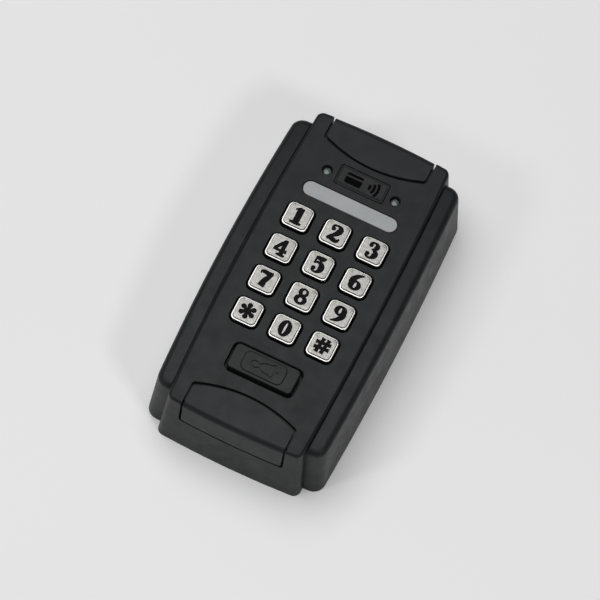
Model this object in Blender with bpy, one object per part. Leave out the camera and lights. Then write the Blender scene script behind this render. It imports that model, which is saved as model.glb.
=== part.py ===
"""Keypad proximity reader for a door, lying on its back.

Frame: metres, +X across the keypad, +Y towards the light bar, +Z out of the keypad face.
The origin is on the wall plane (z = 0), under the middle of the case.
"""

import math

import bmesh
import bpy

MM = 0.001
GAP = 0.3 * MM

# Driving sizes of the case.
DRAFT = 0.060
COLUMN = {"width": 62.05 * MM, "length": 137.9 * MM, "corner": 2.9 * MM,
          "side_bow": 1.44 * MM, "end_bow": 0.88 * MM}
WING = {"width": 76.0 * MM, "length": 128.1 * MM, "corner": 4.9 * MM,
        "side_bow": 1.36 * MM, "end_bow": 0.8 * MM}
COLUMN_END_HEIGHT = 32.9 * MM
COLUMN_CROWN = 1.13 * MM
COLUMN_FILLET = 1.3 * MM
WING_END_HEIGHT = 30.35 * MM
WING_CROWN = 3.05 * MM
WING_FILLET = 2.5 * MM
GROOVE_WIDTH = 0.5 * MM
GROOVE_DEPTH = 1.2 * MM
WALL = 2.3 * MM
ROOF_UNDERSIDE = 30.4 * MM
WING_CAVITY_TOP = 25.3 * MM
END_CAVITY_TOP = 28.8 * MM
END_CAVITY_HALF_LENGTH = 63.1 * MM
LOW_CAVITY_TOP = 17.5 * MM
KEYPAD_CAVITY_HALF_LENGTH = 50.3 * MM
ABOVE_CASE = 42.0 * MM
BELOW_CASE = -1.0 * MM

# Keypad.
KEY_NAMES = ("key_1", "key_2", "key_3", "key_4", "key_5", "key_6",
             "key_7", "key_8", "key_9", "key_star", "key_0", "key_hash")
KEY_COLUMNS = 3
KEY_ROWS = 4
KEY_PITCH_X = 15.5 * MM
KEY_PITCH_Y = 14.55 * MM
KEYPAD_CENTRE_Y = -0.6 * MM
KEY_SIZE = 10.4 * MM
KEY_CORNER = 2.2 * MM
KEY_BEVEL = 0.5 * MM
KEY_TOP = 35.6 * MM
KEY_FLANGE = 12.6 * MM
KEY_CLEARANCE = 0.65 * MM
FLANGE_TOP = ROOF_UNDERSIDE - GAP
FLANGE_BOTTOM = 29.3 * MM

# Bell button.
BELL_Y = -40.4 * MM
BELL_SIZE = (26.5 * MM, 10.6 * MM)
BELL_CORNER = 1.7 * MM
BELL_TOP = 35.3 * MM
BELL_EDGE = 0.5 * MM
BELL_LABEL = (16.9 * MM, 7.9 * MM)
BELL_LABEL_CORNER = 2.2 * MM
BELL_LABEL_SLOPE = 0.2 * MM
BELL_LABEL_RISE = 0.25 * MM
BELL_FLANGE = (30.4 * MM, 14.4 * MM)
BELL_CLEARANCE = 1.05 * MM

# Silicone mat under the keys.
MAT_WIDTH = 48.0 * MM
MAT_LOW_Y = -46.0 * MM
MAT_HIGH_Y = 29.4 * MM
MAT_THICKNESS = 1.2 * MM
DOME_RADIUS = 4.8 * MM
DOME_TOP_RADIUS = 3.2 * MM
DOME_SLOPE = 1.3 * MM
BELL_DOME_X = 8.0 * MM

# Light bar, windows and plate.
BAR_Y = 34.6 * MM
BAR_SIZE = (38.8 * MM, 6.1 * MM)
BAR_FLANGE = (41.6 * MM, 8.6 * MM)
BAR_BOTTOM = 27.6 * MM
WINDOW_X = 14.2 * MM
WINDOW_Y = 44.5 * MM
WINDOW_RADIUS = 2.0 * MM
LENS_RADIUS = 1.6 * MM
LENS_RECESS = 1.3 * MM
LENS_FLANGE_RADIUS = 2.7 * MM
PLATE_Y = 45.2 * MM
PLATE_SIZE = (20.0 * MM, 8.4 * MM)
PLATE_THICKNESS = 0.9 * MM

# Trim caps at both ends.
CAP_HALF_WIDTH = 21.55 * MM
CAP_SHOULDER_Y = 55.7 * MM
CAP_APEX_Y = 52.0 * MM
CAP_CORNER = 1.7 * MM
CAP_LOWER_EDGE = 19.2 * MM
CAP_WALL_CORNER = 1.5 * MM
CAP_ARCH_GAP = 1.05 * MM
CAP_SIDE_GAP = 0.9 * MM
CAP_LOWER_GAP = 0.9 * MM
CAP_BLANK_BOTTOM = 11.0 * MM
CAP_THICKNESS = 1.7 * MM
CAP_FILLET = 2.2 * MM
CAP_TAB_X = 13.0 * MM
CAP_TAB_SIZE = (3.0 * MM, 1.2 * MM)
CAP_TAB_BOTTOM = 27.0 * MM

# Screws under the caps.
COVER_SCREW_Y = 59.5 * MM
SCREW_SEAT = 19.0 * MM
SCREW_TUBE_RADIUS = 4.7 * MM
SCREW_TUBE_BOTTOM = 7.7 * MM
COUNTERBORE_RADIUS = 3.4 * MM
SCREW_HOLE_RADIUS = 1.8 * MM
PILLAR_RADIUS = 4.0 * MM
PILLAR_TOP = 7.4 * MM

# Circuit board and what is on it.
BOARD_SIZE = (52.0 * MM, 103.0 * MM)
BOARD_TOP = 24.7 * MM
BOARD_THICKNESS = 1.6 * MM
BOARD_BOTTOM = BOARD_TOP - BOARD_THICKNESS
BOARD_SCREW_X = 22.6 * MM
BOARD_SCREW_Y = 48.6 * MM
UNDER_BOARD = BOARD_BOTTOM - GAP
ON_BOARD = BOARD_TOP + GAP
BOARD_HOLE_RADIUS = 1.3 * MM
COIL_SIZE = (50.0 * MM, 70.0 * MM)
COIL_CORNER = 6.0 * MM
COIL_WIDTH = 3.0 * MM
COIL_HEIGHT = 3.0 * MM
COIL_Y = 3.0 * MM
CHIP_SIZE = (10.0 * MM, 10.0 * MM)
CHIP_PLACE = (6.0 * MM, -5.0 * MM)
CHIP_HEIGHT = 1.4 * MM
CRYSTAL_SIZE = (11.0 * MM, 4.4 * MM)
CRYSTAL_PLACE = (-10.0 * MM, -2.0 * MM)
CRYSTAL_HEIGHT = 3.4 * MM
CAPACITOR_RADIUS = 4.0 * MM
CAPACITOR_PLACE = (15.0 * MM, 8.0 * MM)
CAPACITOR_HEIGHT = 9.5 * MM
SOUNDER_RADIUS = 6.0 * MM
SOUNDER_HOLE_RADIUS = 1.2 * MM
SOUNDER_PLACE = (-12.0 * MM, -19.0 * MM)
SOUNDER_HEIGHT = 8.5 * MM
CONNECTOR_WAYS = 8
CONNECTOR_PITCH = 2.54 * MM
CONNECTOR_DEPTH = 5.8 * MM
CONNECTOR_Y = 26.0 * MM
CONNECTOR_HEIGHT = 7.0 * MM
BAR_LED_X = 12.0 * MM
BAR_LED_SIZE = (3.5 * MM, 2.8 * MM)
BAR_LED_HEIGHT = 1.9 * MM

# Back plate.
BACK_THICKNESS = 2.5 * MM
SEAL_HEIGHT = 1.5 * MM
SEAL_WIDTH = 1.5 * MM
SEAL_GAP = 0.7 * MM
CABLE_Y = 8.0 * MM
CABLE_HOLE_RADIUS = 5.5 * MM
CABLE_BORE_RADIUS = 3.6 * MM
WALL_HOLE_RADIUS = 2.3 * MM
WALL_HOLE_Y = 41.65 * MM
WALL_HOLE_X = 30.0 * MM
TAMPER_X = 14.0 * MM
TAMPER_Y = -20.0 * MM
GUIDE_RADIUS = 3.6 * MM
GUIDE_TOP = 8.0 * MM
SWITCH_SIZE = 6.0 * MM
SWITCH_HEIGHT = 4.2 * MM
SWITCH_BUTTON_RADIUS = 1.5 * MM
PLUNGER_RADIUS = 1.9 * MM
PLUNGER_COLLAR_RADIUS = 3.2 * MM
PLUNGER_COLLAR_BOTTOM = 9.8 * MM
PLUNGER_STEM_RADIUS = 1.3 * MM

END_STEPS = 3
CORNER_STEPS = 4
SIDE_STEPS = 12
FILLET_STEPS = 3


def clear_scene():
    for item in list(bpy.data.objects):
        bpy.data.objects.remove(item, do_unlink=True)


def make_material(name, colour, roughness, metallic=0.0, transmission=0.0):
    material = bpy.data.materials.new(name)
    material.use_nodes = True
    shader = material.node_tree.nodes["Principled BSDF"]
    shader.inputs["Base Color"].default_value = (*colour, 1.0)
    shader.inputs["Roughness"].default_value = roughness
    shader.inputs["Metallic"].default_value = metallic
    shader.inputs["Transmission Weight"].default_value = transmission
    return material


def case_plastic(name):
    return make_material(name, (0.022, 0.024, 0.026), 0.45)


def make_object(name, bm, material):
    bmesh.ops.recalc_face_normals(bm, faces=bm.faces)
    mesh = bpy.data.meshes.new(name)
    bm.to_mesh(mesh)
    bm.free()
    mesh.shade_smooth()
    mesh.set_sharp_from_angle(angle=math.radians(30))
    item = bpy.data.objects.new(name, mesh)
    bpy.context.scene.collection.objects.link(item)
    if material:
        mesh.materials.append(material)
    return item


def make_tool(name, bm):
    """A solid that only cuts or joins another piece."""
    item = make_object(name, bm, None)
    item.hide_render = True
    item.display_type = "WIRE"
    return item


def use_tool(target, tool, operation):
    modifier = target.modifiers.new(tool.name, "BOOLEAN")
    modifier.operation = operation
    modifier.solver = "EXACT"
    modifier.object = tool


def cut(target, *tools):
    for tool in tools:
        use_tool(target, tool, "DIFFERENCE")


def join(target, *tools):
    for tool in tools:
        use_tool(target, tool, "UNION")


def keep_inside(target, *tools):
    for tool in tools:
        use_tool(target, tool, "INTERSECT")


# ---------------------------------------------------------------- outlines

def case_outline(width, length, corner, side_bow, end_bow):
    """Plan outline with bowed sides and ends, from the middle of the -Y end, counter-clockwise."""
    cx = width / 2 - side_bow - corner
    cy = length / 2 - end_bow - corner
    quarter = math.pi / 2
    right = []
    for i in range(END_STEPS):
        x = cx * i / END_STEPS
        right.append((x, end_bow * (x / cx) ** 2 - length / 2))
    for i in range(CORNER_STEPS):
        angle = quarter * (i / CORNER_STEPS - 1)
        right.append((cx + corner * math.cos(angle), corner * math.sin(angle) - cy))
    for i in range(SIDE_STEPS + 1):
        y = cy * (2 * i / SIDE_STEPS - 1)
        right.append((width / 2 - side_bow * (y / cy) ** 2, y))
    for i in range(1, CORNER_STEPS + 1):
        angle = quarter * i / CORNER_STEPS
        right.append((cx + corner * math.cos(angle), cy + corner * math.sin(angle)))
    for i in range(1, END_STEPS + 1):
        x = cx * (1 - i / END_STEPS)
        right.append((x, length / 2 - end_bow * (x / cx) ** 2))
    left = [(-x, y) for x, y in reversed(right[1:-1])]
    return right + left


def drafted_outline(plan, inset, height):
    """The plan outline drawn in by an inset and by the wall's draft at a height."""
    shrink = inset + DRAFT * height
    corner = max(plan["corner"] - inset, 0.6 * MM)
    return case_outline(plan["width"] - 2 * shrink, plan["length"] - 2 * shrink,
                        corner, plan["side_bow"], plan["end_bow"])


def back_outline(inset):
    """Cross-shaped plan of the case's open back, drawn in by an inset."""
    column = drafted_outline(COLUMN, inset, 0.0)
    wing = drafted_outline(WING, inset, 0.0)
    side_start = END_STEPS + CORNER_STEPS
    side_end = side_start + SIDE_STEPS
    last = side_end + CORNER_STEPS
    column_x = column[side_start][0]
    step_y = wing[last][1]
    right = column[:side_start + 1] + [(column_x, -step_y)] + wing[END_STEPS:last + 1]
    right += [(column_x, step_y)] + column[side_end:last + END_STEPS + 1]
    left = [(-x, y) for x, y in reversed(right[1:-1])]
    return right + left


def rounded_rectangle(width, length, radius, steps=4):
    points = []
    for k in range(4):
        sx = 1 if k in (0, 3) else -1
        sy = 1 if k < 2 else -1
        for i in range(steps + 1):
            angle = math.pi / 2 * (k + i / steps)
            x = sx * (width / 2 - radius) + radius * math.cos(angle)
            y = sy * (length / 2 - radius) + radius * math.sin(angle)
            points.append((x, y))
    return points


def circle(radius, steps=16):
    turn = 2 * math.pi / steps
    return [(radius * math.cos(turn * i), radius * math.sin(turn * i)) for i in range(steps)]


def at(points, x, y):
    return [(px + x, py + y) for px, py in points]


def flat_ring(points, z):
    return [(x, y, z) for x, y in points]


# ---------------------------------------------------------------- solids

def add_rings(bm, rings, closed_top=True):
    """Walls between rings of equal length, closed below and, if asked, above."""
    rows = [[bm.verts.new(point) for point in ring] for ring in rings]
    count = len(rows[0])
    for low, high in zip(rows, rows[1:]):
        for i in range(count):
            j = (i + 1) % count
            bm.faces.new((low[i], low[j], high[j], high[i]))
    bm.faces.new(list(reversed(rows[0])))
    if closed_top:
        bm.faces.new(rows[-1])
    return rows


def ring_solid(rings):
    bm = bmesh.new()
    add_rings(bm, rings)
    return bm


def prism(points, low, high):
    return ring_solid([flat_ring(points, low), flat_ring(points, high)])


def prisms(outlines, low, high):
    bm = bmesh.new()
    for points in outlines:
        add_rings(bm, [flat_ring(points, low), flat_ring(points, high)])
    return bm


def turned(profile, x, y, steps=16):
    """A solid of revolution about a vertical axis; the profile is (radius, z) from bottom to top."""
    return ring_solid([flat_ring(at(circle(r, steps), x, y), z) for r, z in profile])


def ring_loop(rings):
    """A ring-shaped solid: walls between rings of equal length, the last joined to the first."""
    bm = bmesh.new()
    rows = [[bm.verts.new(point) for point in ring] for ring in rings]
    count = len(rows[0])
    for low, high in zip(rows, rows[1:] + rows[:1]):
        for i in range(count):
            j = (i + 1) % count
            bm.faces.new((low[i], low[j], high[j], high[i]))
    return bm


def turned_tube(profile, x, y, steps=16):
    """A ring-shaped solid of revolution; the profile is a closed loop of (radius, z)."""
    return ring_loop([flat_ring(at(circle(r, steps), x, y), z) for r, z in profile])


def drafted_block(plan, inset, low, high):
    return ring_solid([flat_ring(drafted_outline(plan, inset, low), low),
                       flat_ring(drafted_outline(plan, inset, high), high)])


def column_height(y):
    return COLUMN_END_HEIGHT + COLUMN_CROWN * (1 - (2 * y / COLUMN["length"]) ** 2)


def wing_height(y):
    return WING_END_HEIGHT + WING_CROWN * (1 - (2 * y / WING["length"]) ** 2)


def crowned_block(plan, height, end_height, inset, low, fillet):
    """A drafted block whose top follows a height along Y and has a rounded edge."""
    bm = bmesh.new()
    rings = [flat_ring(drafted_outline(plan, inset, low), low)]
    for i in range(FILLET_STEPS + 1):
        angle = math.pi / 2 * i / FILLET_STEPS
        draw_in = inset + fillet * (1 - math.cos(angle))
        drop = inset + fillet * (1 - math.sin(angle))
        outline = drafted_outline(plan, draw_in, end_height - drop)
        rings.append([(x, y, height(y) - drop) for x, y in outline])
    rows = add_rings(bm, rings, closed_top=False)
    top = rows[-1]
    count = len(top)
    for i in range(count // 2):
        right = top[i:i + 2]
        left = [top[-i - 1], top[(count - i) % count]]
        corners = list(dict.fromkeys(right + left))
        bm.faces.new(corners)
    return bm


def groove_block():
    """The space beside and above the column, down to the groove's floor in each wing."""
    outline = drafted_outline(COLUMN, -GROOVE_WIDTH, WING_END_HEIGHT)
    floor = [(x, y, wing_height(y) - GROOVE_DEPTH) for x, y in outline]
    bm = bmesh.new()
    rows = [[bm.verts.new(point) for point in floor],
            [bm.verts.new(point) for point in flat_ring(outline, ABOVE_CASE)]]
    count = len(outline)
    for i in range(count):
        j = (i + 1) % count
        bm.faces.new((rows[0][i], rows[0][j], rows[1][j], rows[1][i]))
    bm.faces.new(rows[1])
    for i in range(count // 2):
        corners = rows[0][i:i + 2] + [rows[0][-i - 1], rows[0][(count - i) % count]]
        bm.faces.new(list(dict.fromkeys(corners)))
    return bm


# ---------------------------------------------------------------- trim caps

def cap_plan(side, is_cap):
    """Plan of a cap, or of its seat: an arch towards the keypad, straight sides out past the end wall."""
    half = CAP_HALF_WIDTH - is_cap * CAP_SIDE_GAP
    apex = CAP_APEX_Y + is_cap * CAP_ARCH_GAP
    shoulder = CAP_SHOULDER_Y + is_cap * CAP_ARCH_GAP
    rise = shoulder - apex
    chord = half - CAP_CORNER
    radius = (chord ** 2 + rise ** 2) / (2 * rise)
    sweep = math.asin(chord / radius)
    outer = COLUMN["length"] / 2 + 5 * MM
    points = [(half, outer)]
    points.append((half, shoulder + CAP_CORNER))
    steps = 10
    for i in range(steps + 1):
        angle = sweep * (1 - 2 * i / steps)
        points.append((radius * math.sin(angle), apex + radius * (1 - math.cos(angle))))
    points.append((-half, shoulder + CAP_CORNER))
    points.append((-half, outer))
    return [(x, side * y) for x, y in points]


def cap_front(side, is_cap):
    """Tall block with rounded lower corners, which bounds a cap, or its seat, on the end wall."""
    half = CAP_HALF_WIDTH - is_cap * CAP_SIDE_GAP + 0.05 * MM
    low = CAP_LOWER_EDGE + is_cap * CAP_LOWER_GAP
    radius = CAP_WALL_CORNER
    outline = [(half, ABOVE_CASE), (-half, ABOVE_CASE)]
    for k in (0, 1):
        sign = -1 if k == 0 else 1
        for i in range(5):
            angle = math.pi / 2 * (k + i / 4)
            outline.append((sign * (half - radius) - radius * math.cos(angle),
                            low + radius - radius * math.sin(angle)))
    near = side * (CAP_APEX_Y - 2 * MM)
    far = side * (COLUMN["length"] / 2 + 6 * MM)
    return ring_solid([[(x, y, z) for x, z in outline] for y in (near, far)])


def trim_to_cap(target, label, side, is_cap, depth):
    """Trims a tall block to a cap's outline, and takes away what lies deeper than depth in the case."""
    keep_inside(target, make_tool(label + "_front", cap_front(side, is_cap)))
    core = crowned_block(COLUMN, column_height, COLUMN_END_HEIGHT, depth, BELOW_CASE, COLUMN_FILLET)
    cut(target, make_tool(label + "_core", core))


def cap_seat_cutter(label, side):
    seat = make_tool(label + "_seat", prism(cap_plan(side, False), CAP_BLANK_BOTTOM, ABOVE_CASE))
    trim_to_cap(seat, label + "_seat", side, False, CAP_THICKNESS + GAP)
    return seat


def make_cap(label, side):
    cap = make_object(label, prism(cap_plan(side, True), CAP_BLANK_BOTTOM, ABOVE_CASE), case_plastic(label))
    trim_to_cap(cap, label, side, True, CAP_THICKNESS)
    outer = crowned_block(COLUMN, column_height, COLUMN_END_HEIGHT, 0.0, 2 * BELOW_CASE, CAP_FILLET)
    keep_inside(cap, make_tool(label + "_outer", outer))
    tabs = prisms(tab_outlines(side, 0.0), CAP_TAB_BOTTOM, COLUMN_END_HEIGHT - CAP_THICKNESS / 2)
    join(cap, make_tool(label + "_tabs", tabs))


def tab_outlines(side, clearance):
    width, depth = CAP_TAB_SIZE
    outline = rounded_rectangle(width + 2 * clearance, depth + 2 * clearance, 0.3 * MM, 2)
    return [at(outline, x, side * COVER_SCREW_Y) for x in (-CAP_TAB_X, CAP_TAB_X)]


# ---------------------------------------------------------------- housing

def key_places():
    places = []
    for index, name in enumerate(KEY_NAMES):
        column = index % KEY_COLUMNS
        row = index // KEY_COLUMNS
        x = (column - (KEY_COLUMNS - 1) / 2) * KEY_PITCH_X
        y = KEYPAD_CENTRE_Y + ((KEY_ROWS - 1) / 2 - row) * KEY_PITCH_Y
        places.append((name, x, y))
    return places


def corner_places():
    return [(sx * BOARD_SCREW_X, sy * BOARD_SCREW_Y) for sx in (-1, 1) for sy in (-1, 1)]


def housing_openings():
    outlines = []
    key_hole = rounded_rectangle(KEY_SIZE + 2 * KEY_CLEARANCE, KEY_SIZE + 2 * KEY_CLEARANCE,
                                 KEY_CORNER + KEY_CLEARANCE)
    for _, x, y in key_places():
        outlines.append(at(key_hole, x, y))
    bell_hole = rounded_rectangle(BELL_SIZE[0] + 2 * BELL_CLEARANCE, BELL_SIZE[1] + 2 * BELL_CLEARANCE,
                                  BELL_CORNER + BELL_CLEARANCE)
    outlines.append(at(bell_hole, 0, BELL_Y))
    bar_radius = BAR_SIZE[1] / 2 + GAP
    bar_hole = rounded_rectangle(BAR_SIZE[0] + 2 * GAP, 2 * bar_radius, bar_radius * 0.98, 6)
    outlines.append(at(bar_hole, 0, BAR_Y))
    for x in (-WINDOW_X, WINDOW_X):
        outlines.append(at(circle(WINDOW_RADIUS), x, WINDOW_Y))
    for side in (-1, 1):
        outlines.extend(tab_outlines(side, 0.5 * MM))
    return prisms(outlines, END_CAVITY_TOP - 1 * MM, ABOVE_CASE)


def housing_bosses():
    """Tubes that hang from the roof for the board's screws and for the two long screws."""
    bm = bmesh.new()
    for x, y in corner_places():
        outline = at(circle(2.4 * MM), x, y)
        add_rings(bm, [flat_ring(outline, ON_BOARD), flat_ring(outline, ROOF_UNDERSIDE + 1 * MM)])
    for side in (-1, 1):
        outline = at(circle(SCREW_TUBE_RADIUS, 20), 0, side * COVER_SCREW_Y)
        add_rings(bm, [flat_ring(outline, SCREW_TUBE_BOTTOM),
                       flat_ring(outline, END_CAVITY_TOP + 1 * MM)])
    return bm


def housing_bores():
    bm = bmesh.new()
    for x, y in corner_places():
        outline = at(circle(BOARD_HOLE_RADIUS, 10), x, y)
        add_rings(bm, [flat_ring(outline, ON_BOARD - 1 * MM), flat_ring(outline, 29.6 * MM)])
    for side in (-1, 1):
        y = side * COVER_SCREW_Y
        hole = at(circle(SCREW_HOLE_RADIUS), 0, y)
        bore = at(circle(COUNTERBORE_RADIUS), 0, y)
        add_rings(bm, [flat_ring(hole, SCREW_TUBE_BOTTOM - 1 * MM), flat_ring(hole, SCREW_SEAT),
                       flat_ring(bore, SCREW_SEAT), flat_ring(bore, ABOVE_CASE)])
    return bm


def plate_solid(grow, low_drop, rise):
    """Block under or in the plate's seat, whose top and bottom follow the crowned face."""
    outline = at(rounded_rectangle(PLATE_SIZE[0] + 2 * grow, PLATE_SIZE[1] + 2 * grow, 0.8 * MM + grow, 3),
                 0, PLATE_Y)
    low = [(x, y, column_height(y) - low_drop) for x, y in outline]
    high = [(x, y, column_height(y) + rise) for x, y in outline]
    return ring_solid([low, high])


def make_housing():
    wings = crowned_block(WING, wing_height, WING_END_HEIGHT, 0.0, 0.0, WING_FILLET)
    housing = make_object("front_housing", wings, case_plastic("front_housing"))
    cut(housing, make_tool("groove_space", groove_block()))
    column = crowned_block(COLUMN, column_height, COLUMN_END_HEIGHT, 0.0, 0.0, COLUMN_FILLET)
    join(housing, make_tool("column_body", column))
    end_plan = dict(COLUMN, length=2 * (END_CAVITY_HALF_LENGTH + WALL + DRAFT * END_CAVITY_TOP))
    keypad_plan = dict(COLUMN, length=2 * (KEYPAD_CAVITY_HALF_LENGTH + WALL + DRAFT * ROOF_UNDERSIDE))
    cut(housing,
        make_tool("wing_cavity", drafted_block(WING, WALL, BELOW_CASE, WING_CAVITY_TOP)),
        make_tool("low_cavity", drafted_block(COLUMN, WALL + 0.02 * MM, 2 * BELOW_CASE, LOW_CAVITY_TOP)),
        make_tool("end_cavity", drafted_block(end_plan, WALL + 0.05 * MM, 3 * BELOW_CASE, END_CAVITY_TOP)),
        make_tool("keypad_cavity", drafted_block(keypad_plan, WALL + 0.08 * MM, 4 * BELOW_CASE,
                                                 ROOF_UNDERSIDE)))
    join(housing, make_tool("bosses", housing_bosses()))
    cut(housing,
        cap_seat_cutter("top", 1),
        cap_seat_cutter("bottom", -1),
        make_tool("face_openings", housing_openings()),
        make_tool("plate_seat", plate_solid(GAP, PLATE_THICKNESS + GAP, 5 * MM)),
        make_tool("bores", housing_bores()))
    return housing


def make_back_plate():
    plate = make_object("back_plate", prism(back_outline(WALL + 2 * GAP), 0.0, BACK_THICKNESS),
                        case_plastic("back_plate"))
    pillars = [at(circle(PILLAR_RADIUS, 20), 0, side * COVER_SCREW_Y) for side in (-1, 1)]
    join(plate, make_tool("pillars", prisms(pillars, BACK_THICKNESS / 2, PILLAR_TOP)))
    guide = at(circle(GUIDE_RADIUS), TAMPER_X, TAMPER_Y)
    join(plate, make_tool("plunger_guide", prism(guide, BACK_THICKNESS / 2, GUIDE_TOP)))
    screw_holes = [at(circle(SCREW_HOLE_RADIUS, 12), 0, side * COVER_SCREW_Y) for side in (-1, 1)]
    cut(plate, make_tool("pillar_bores", prisms(screw_holes, 1.2 * MM, PILLAR_TOP + 1 * MM)))
    through = [at(circle(CABLE_HOLE_RADIUS, 24), 0, CABLE_Y),
               at(circle(PLUNGER_RADIUS + 0.4 * MM), TAMPER_X, TAMPER_Y)]
    wall_hole = circle(WALL_HOLE_RADIUS)
    through += [at(wall_hole, 0, side * WALL_HOLE_Y) for side in (-1, 1)]
    through += [at(wall_hole, side * WALL_HOLE_X, 0) for side in (-1, 1)]
    cut(plate, make_tool("back_holes", prisms(through, BELOW_CASE, 10 * MM)))
    return plate


def make_seal():
    """Rubber ring that stands on the edge of the back plate."""
    low = BACK_THICKNESS + GAP
    high = low + SEAL_HEIGHT
    outer = back_outline(WALL + SEAL_GAP)
    inner = back_outline(WALL + SEAL_GAP + SEAL_WIDTH)
    loop = [flat_ring(outer, low), flat_ring(outer, high), flat_ring(inner, high), flat_ring(inner, low)]
    make_object("back_seal", ring_loop(loop), make_material("back_seal", (0.03, 0.03, 0.03), 0.8))


# ---------------------------------------------------------------- keys and button

def make_key(name, x, y):
    flange = at(rounded_rectangle(KEY_FLANGE, KEY_FLANGE, KEY_CORNER), x, y)
    body = at(rounded_rectangle(KEY_SIZE, KEY_SIZE, KEY_CORNER), x, y)
    top_size = KEY_SIZE - 2 * KEY_BEVEL
    top = at(rounded_rectangle(top_size, top_size, KEY_CORNER - KEY_BEVEL), x, y)
    rings = [flat_ring(flange, FLANGE_BOTTOM), flat_ring(flange, FLANGE_TOP), flat_ring(body, FLANGE_TOP),
             flat_ring(body, KEY_TOP - KEY_BEVEL), flat_ring(top, KEY_TOP)]
    material = make_material(name, (0.62, 0.61, 0.58), 0.35, metallic=1.0)
    make_object(name, ring_solid(rings), material)


def make_bell_button():
    flange = rounded_rectangle(*BELL_FLANGE, BELL_CORNER)
    body = rounded_rectangle(*BELL_SIZE, BELL_CORNER)
    shoulder = rounded_rectangle(BELL_SIZE[0] - 0.6 * BELL_EDGE, BELL_SIZE[1] - 0.6 * BELL_EDGE,
                                 BELL_CORNER - 0.3 * BELL_EDGE)
    top = rounded_rectangle(BELL_SIZE[0] - 2 * BELL_EDGE, BELL_SIZE[1] - 2 * BELL_EDGE,
                            BELL_CORNER - BELL_EDGE)
    label = rounded_rectangle(*BELL_LABEL, BELL_LABEL_CORNER)
    label_top = rounded_rectangle(BELL_LABEL[0] - 2 * BELL_LABEL_SLOPE, BELL_LABEL[1] - 2 * BELL_LABEL_SLOPE,
                                  BELL_LABEL_CORNER - BELL_LABEL_SLOPE)
    levels = [(flange, FLANGE_BOTTOM), (flange, FLANGE_TOP), (body, FLANGE_TOP),
              (body, BELL_TOP - BELL_EDGE), (shoulder, BELL_TOP - 0.3 * BELL_EDGE), (top, BELL_TOP),
              (label, BELL_TOP), (label_top, BELL_TOP + BELL_LABEL_RISE)]
    rings = [flat_ring(at(points, 0, BELL_Y), z) for points, z in levels]
    make_object("bell_button", ring_solid(rings), case_plastic("bell_button"))


def make_keypad_mat():
    """Silicone sheet with a dome under each key and two under the bell button."""
    high = ON_BOARD + MAT_THICKNESS
    sheet = at(rounded_rectangle(MAT_WIDTH, MAT_HIGH_Y - MAT_LOW_Y, 2 * MM), 0, (MAT_LOW_Y + MAT_HIGH_Y) / 2)
    mat = make_object("keypad_mat", prism(sheet, ON_BOARD, high),
                      make_material("keypad_mat", (0.55, 0.56, 0.56), 0.7))
    profile = [(DOME_RADIUS, high - MAT_THICKNESS / 2), (DOME_RADIUS, high),
               (DOME_TOP_RADIUS, high + DOME_SLOPE), (DOME_TOP_RADIUS, FLANGE_BOTTOM - GAP)]
    centres = [(x, y) for _, x, y in key_places()]
    centres += [(-BELL_DOME_X, BELL_Y), (BELL_DOME_X, BELL_Y)]
    bm = bmesh.new()
    for x, y in centres:
        add_rings(bm, [flat_ring(at(circle(r, 12), x, y), z) for r, z in profile])
    join(mat, make_tool("domes", bm))


# ---------------------------------------------------------------- face parts

def make_light_bar():
    flange = rounded_rectangle(*BAR_FLANGE, BAR_FLANGE[1] * 0.49, 6)
    body = rounded_rectangle(*BAR_SIZE, BAR_SIZE[1] * 0.49, 6)
    edge = rounded_rectangle(BAR_SIZE[0] - 0.4 * MM, BAR_SIZE[1] - 0.4 * MM, BAR_SIZE[1] * 0.46, 6)
    top = column_height(BAR_Y) + 0.1 * MM
    levels = [(body, BAR_BOTTOM), (body, FLANGE_BOTTOM), (flange, FLANGE_BOTTOM), (flange, FLANGE_TOP),
              (body, FLANGE_TOP), (body, top - 0.2 * MM), (edge, top)]
    rings = [flat_ring(at(points, 0, BAR_Y), z) for points, z in levels]
    make_object("light_bar", ring_solid(rings),
                make_material("light_bar", (0.62, 0.66, 0.68), 0.4, 0.0, 0.3))


def make_lens(name, x):
    top = column_height(WINDOW_Y) - LENS_RECESS
    profile = [(LENS_RADIUS, BAR_BOTTOM), (LENS_RADIUS, FLANGE_BOTTOM), (LENS_FLANGE_RADIUS, FLANGE_BOTTOM),
               (LENS_FLANGE_RADIUS, FLANGE_TOP), (LENS_RADIUS, FLANGE_TOP), (LENS_RADIUS, top - 0.3 * MM),
               (LENS_RADIUS - 0.4 * MM, top)]
    make_object(name, turned(profile, x, WINDOW_Y), make_material(name, (0.5, 0.56, 0.6), 0.15, 0.0, 0.5))


def make_name_plate():
    make_object("name_plate", plate_solid(0.0, PLATE_THICKNESS, 0.05 * MM), case_plastic("name_plate"))


# ---------------------------------------------------------------- electronics

def make_board():
    outline = rounded_rectangle(*BOARD_SIZE, 2 * MM)
    board = make_object("circuit_board", prism(outline, BOARD_BOTTOM, BOARD_TOP),
                        make_material("circuit_board", (0.02, 0.16, 0.07), 0.4))
    holes = [at(circle(BOARD_HOLE_RADIUS, 10), x, y) for x, y in corner_places()]
    cut(board, make_tool("board_holes", prisms(holes, BOARD_BOTTOM - MM, BOARD_TOP + MM)))


def make_antenna_coil():
    outer = at(rounded_rectangle(*COIL_SIZE, COIL_CORNER), 0, COIL_Y)
    inner = at(rounded_rectangle(COIL_SIZE[0] - 2 * COIL_WIDTH, COIL_SIZE[1] - 2 * COIL_WIDTH,
                                 COIL_CORNER - COIL_WIDTH), 0, COIL_Y)
    low = UNDER_BOARD - COIL_HEIGHT
    loop = [flat_ring(outer, low), flat_ring(outer, UNDER_BOARD), flat_ring(inner, UNDER_BOARD),
            flat_ring(inner, low)]
    make_object("antenna_coil", ring_loop(loop), make_material("antenna_coil", (0.6, 0.25, 0.08), 0.35, 1.0))


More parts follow.
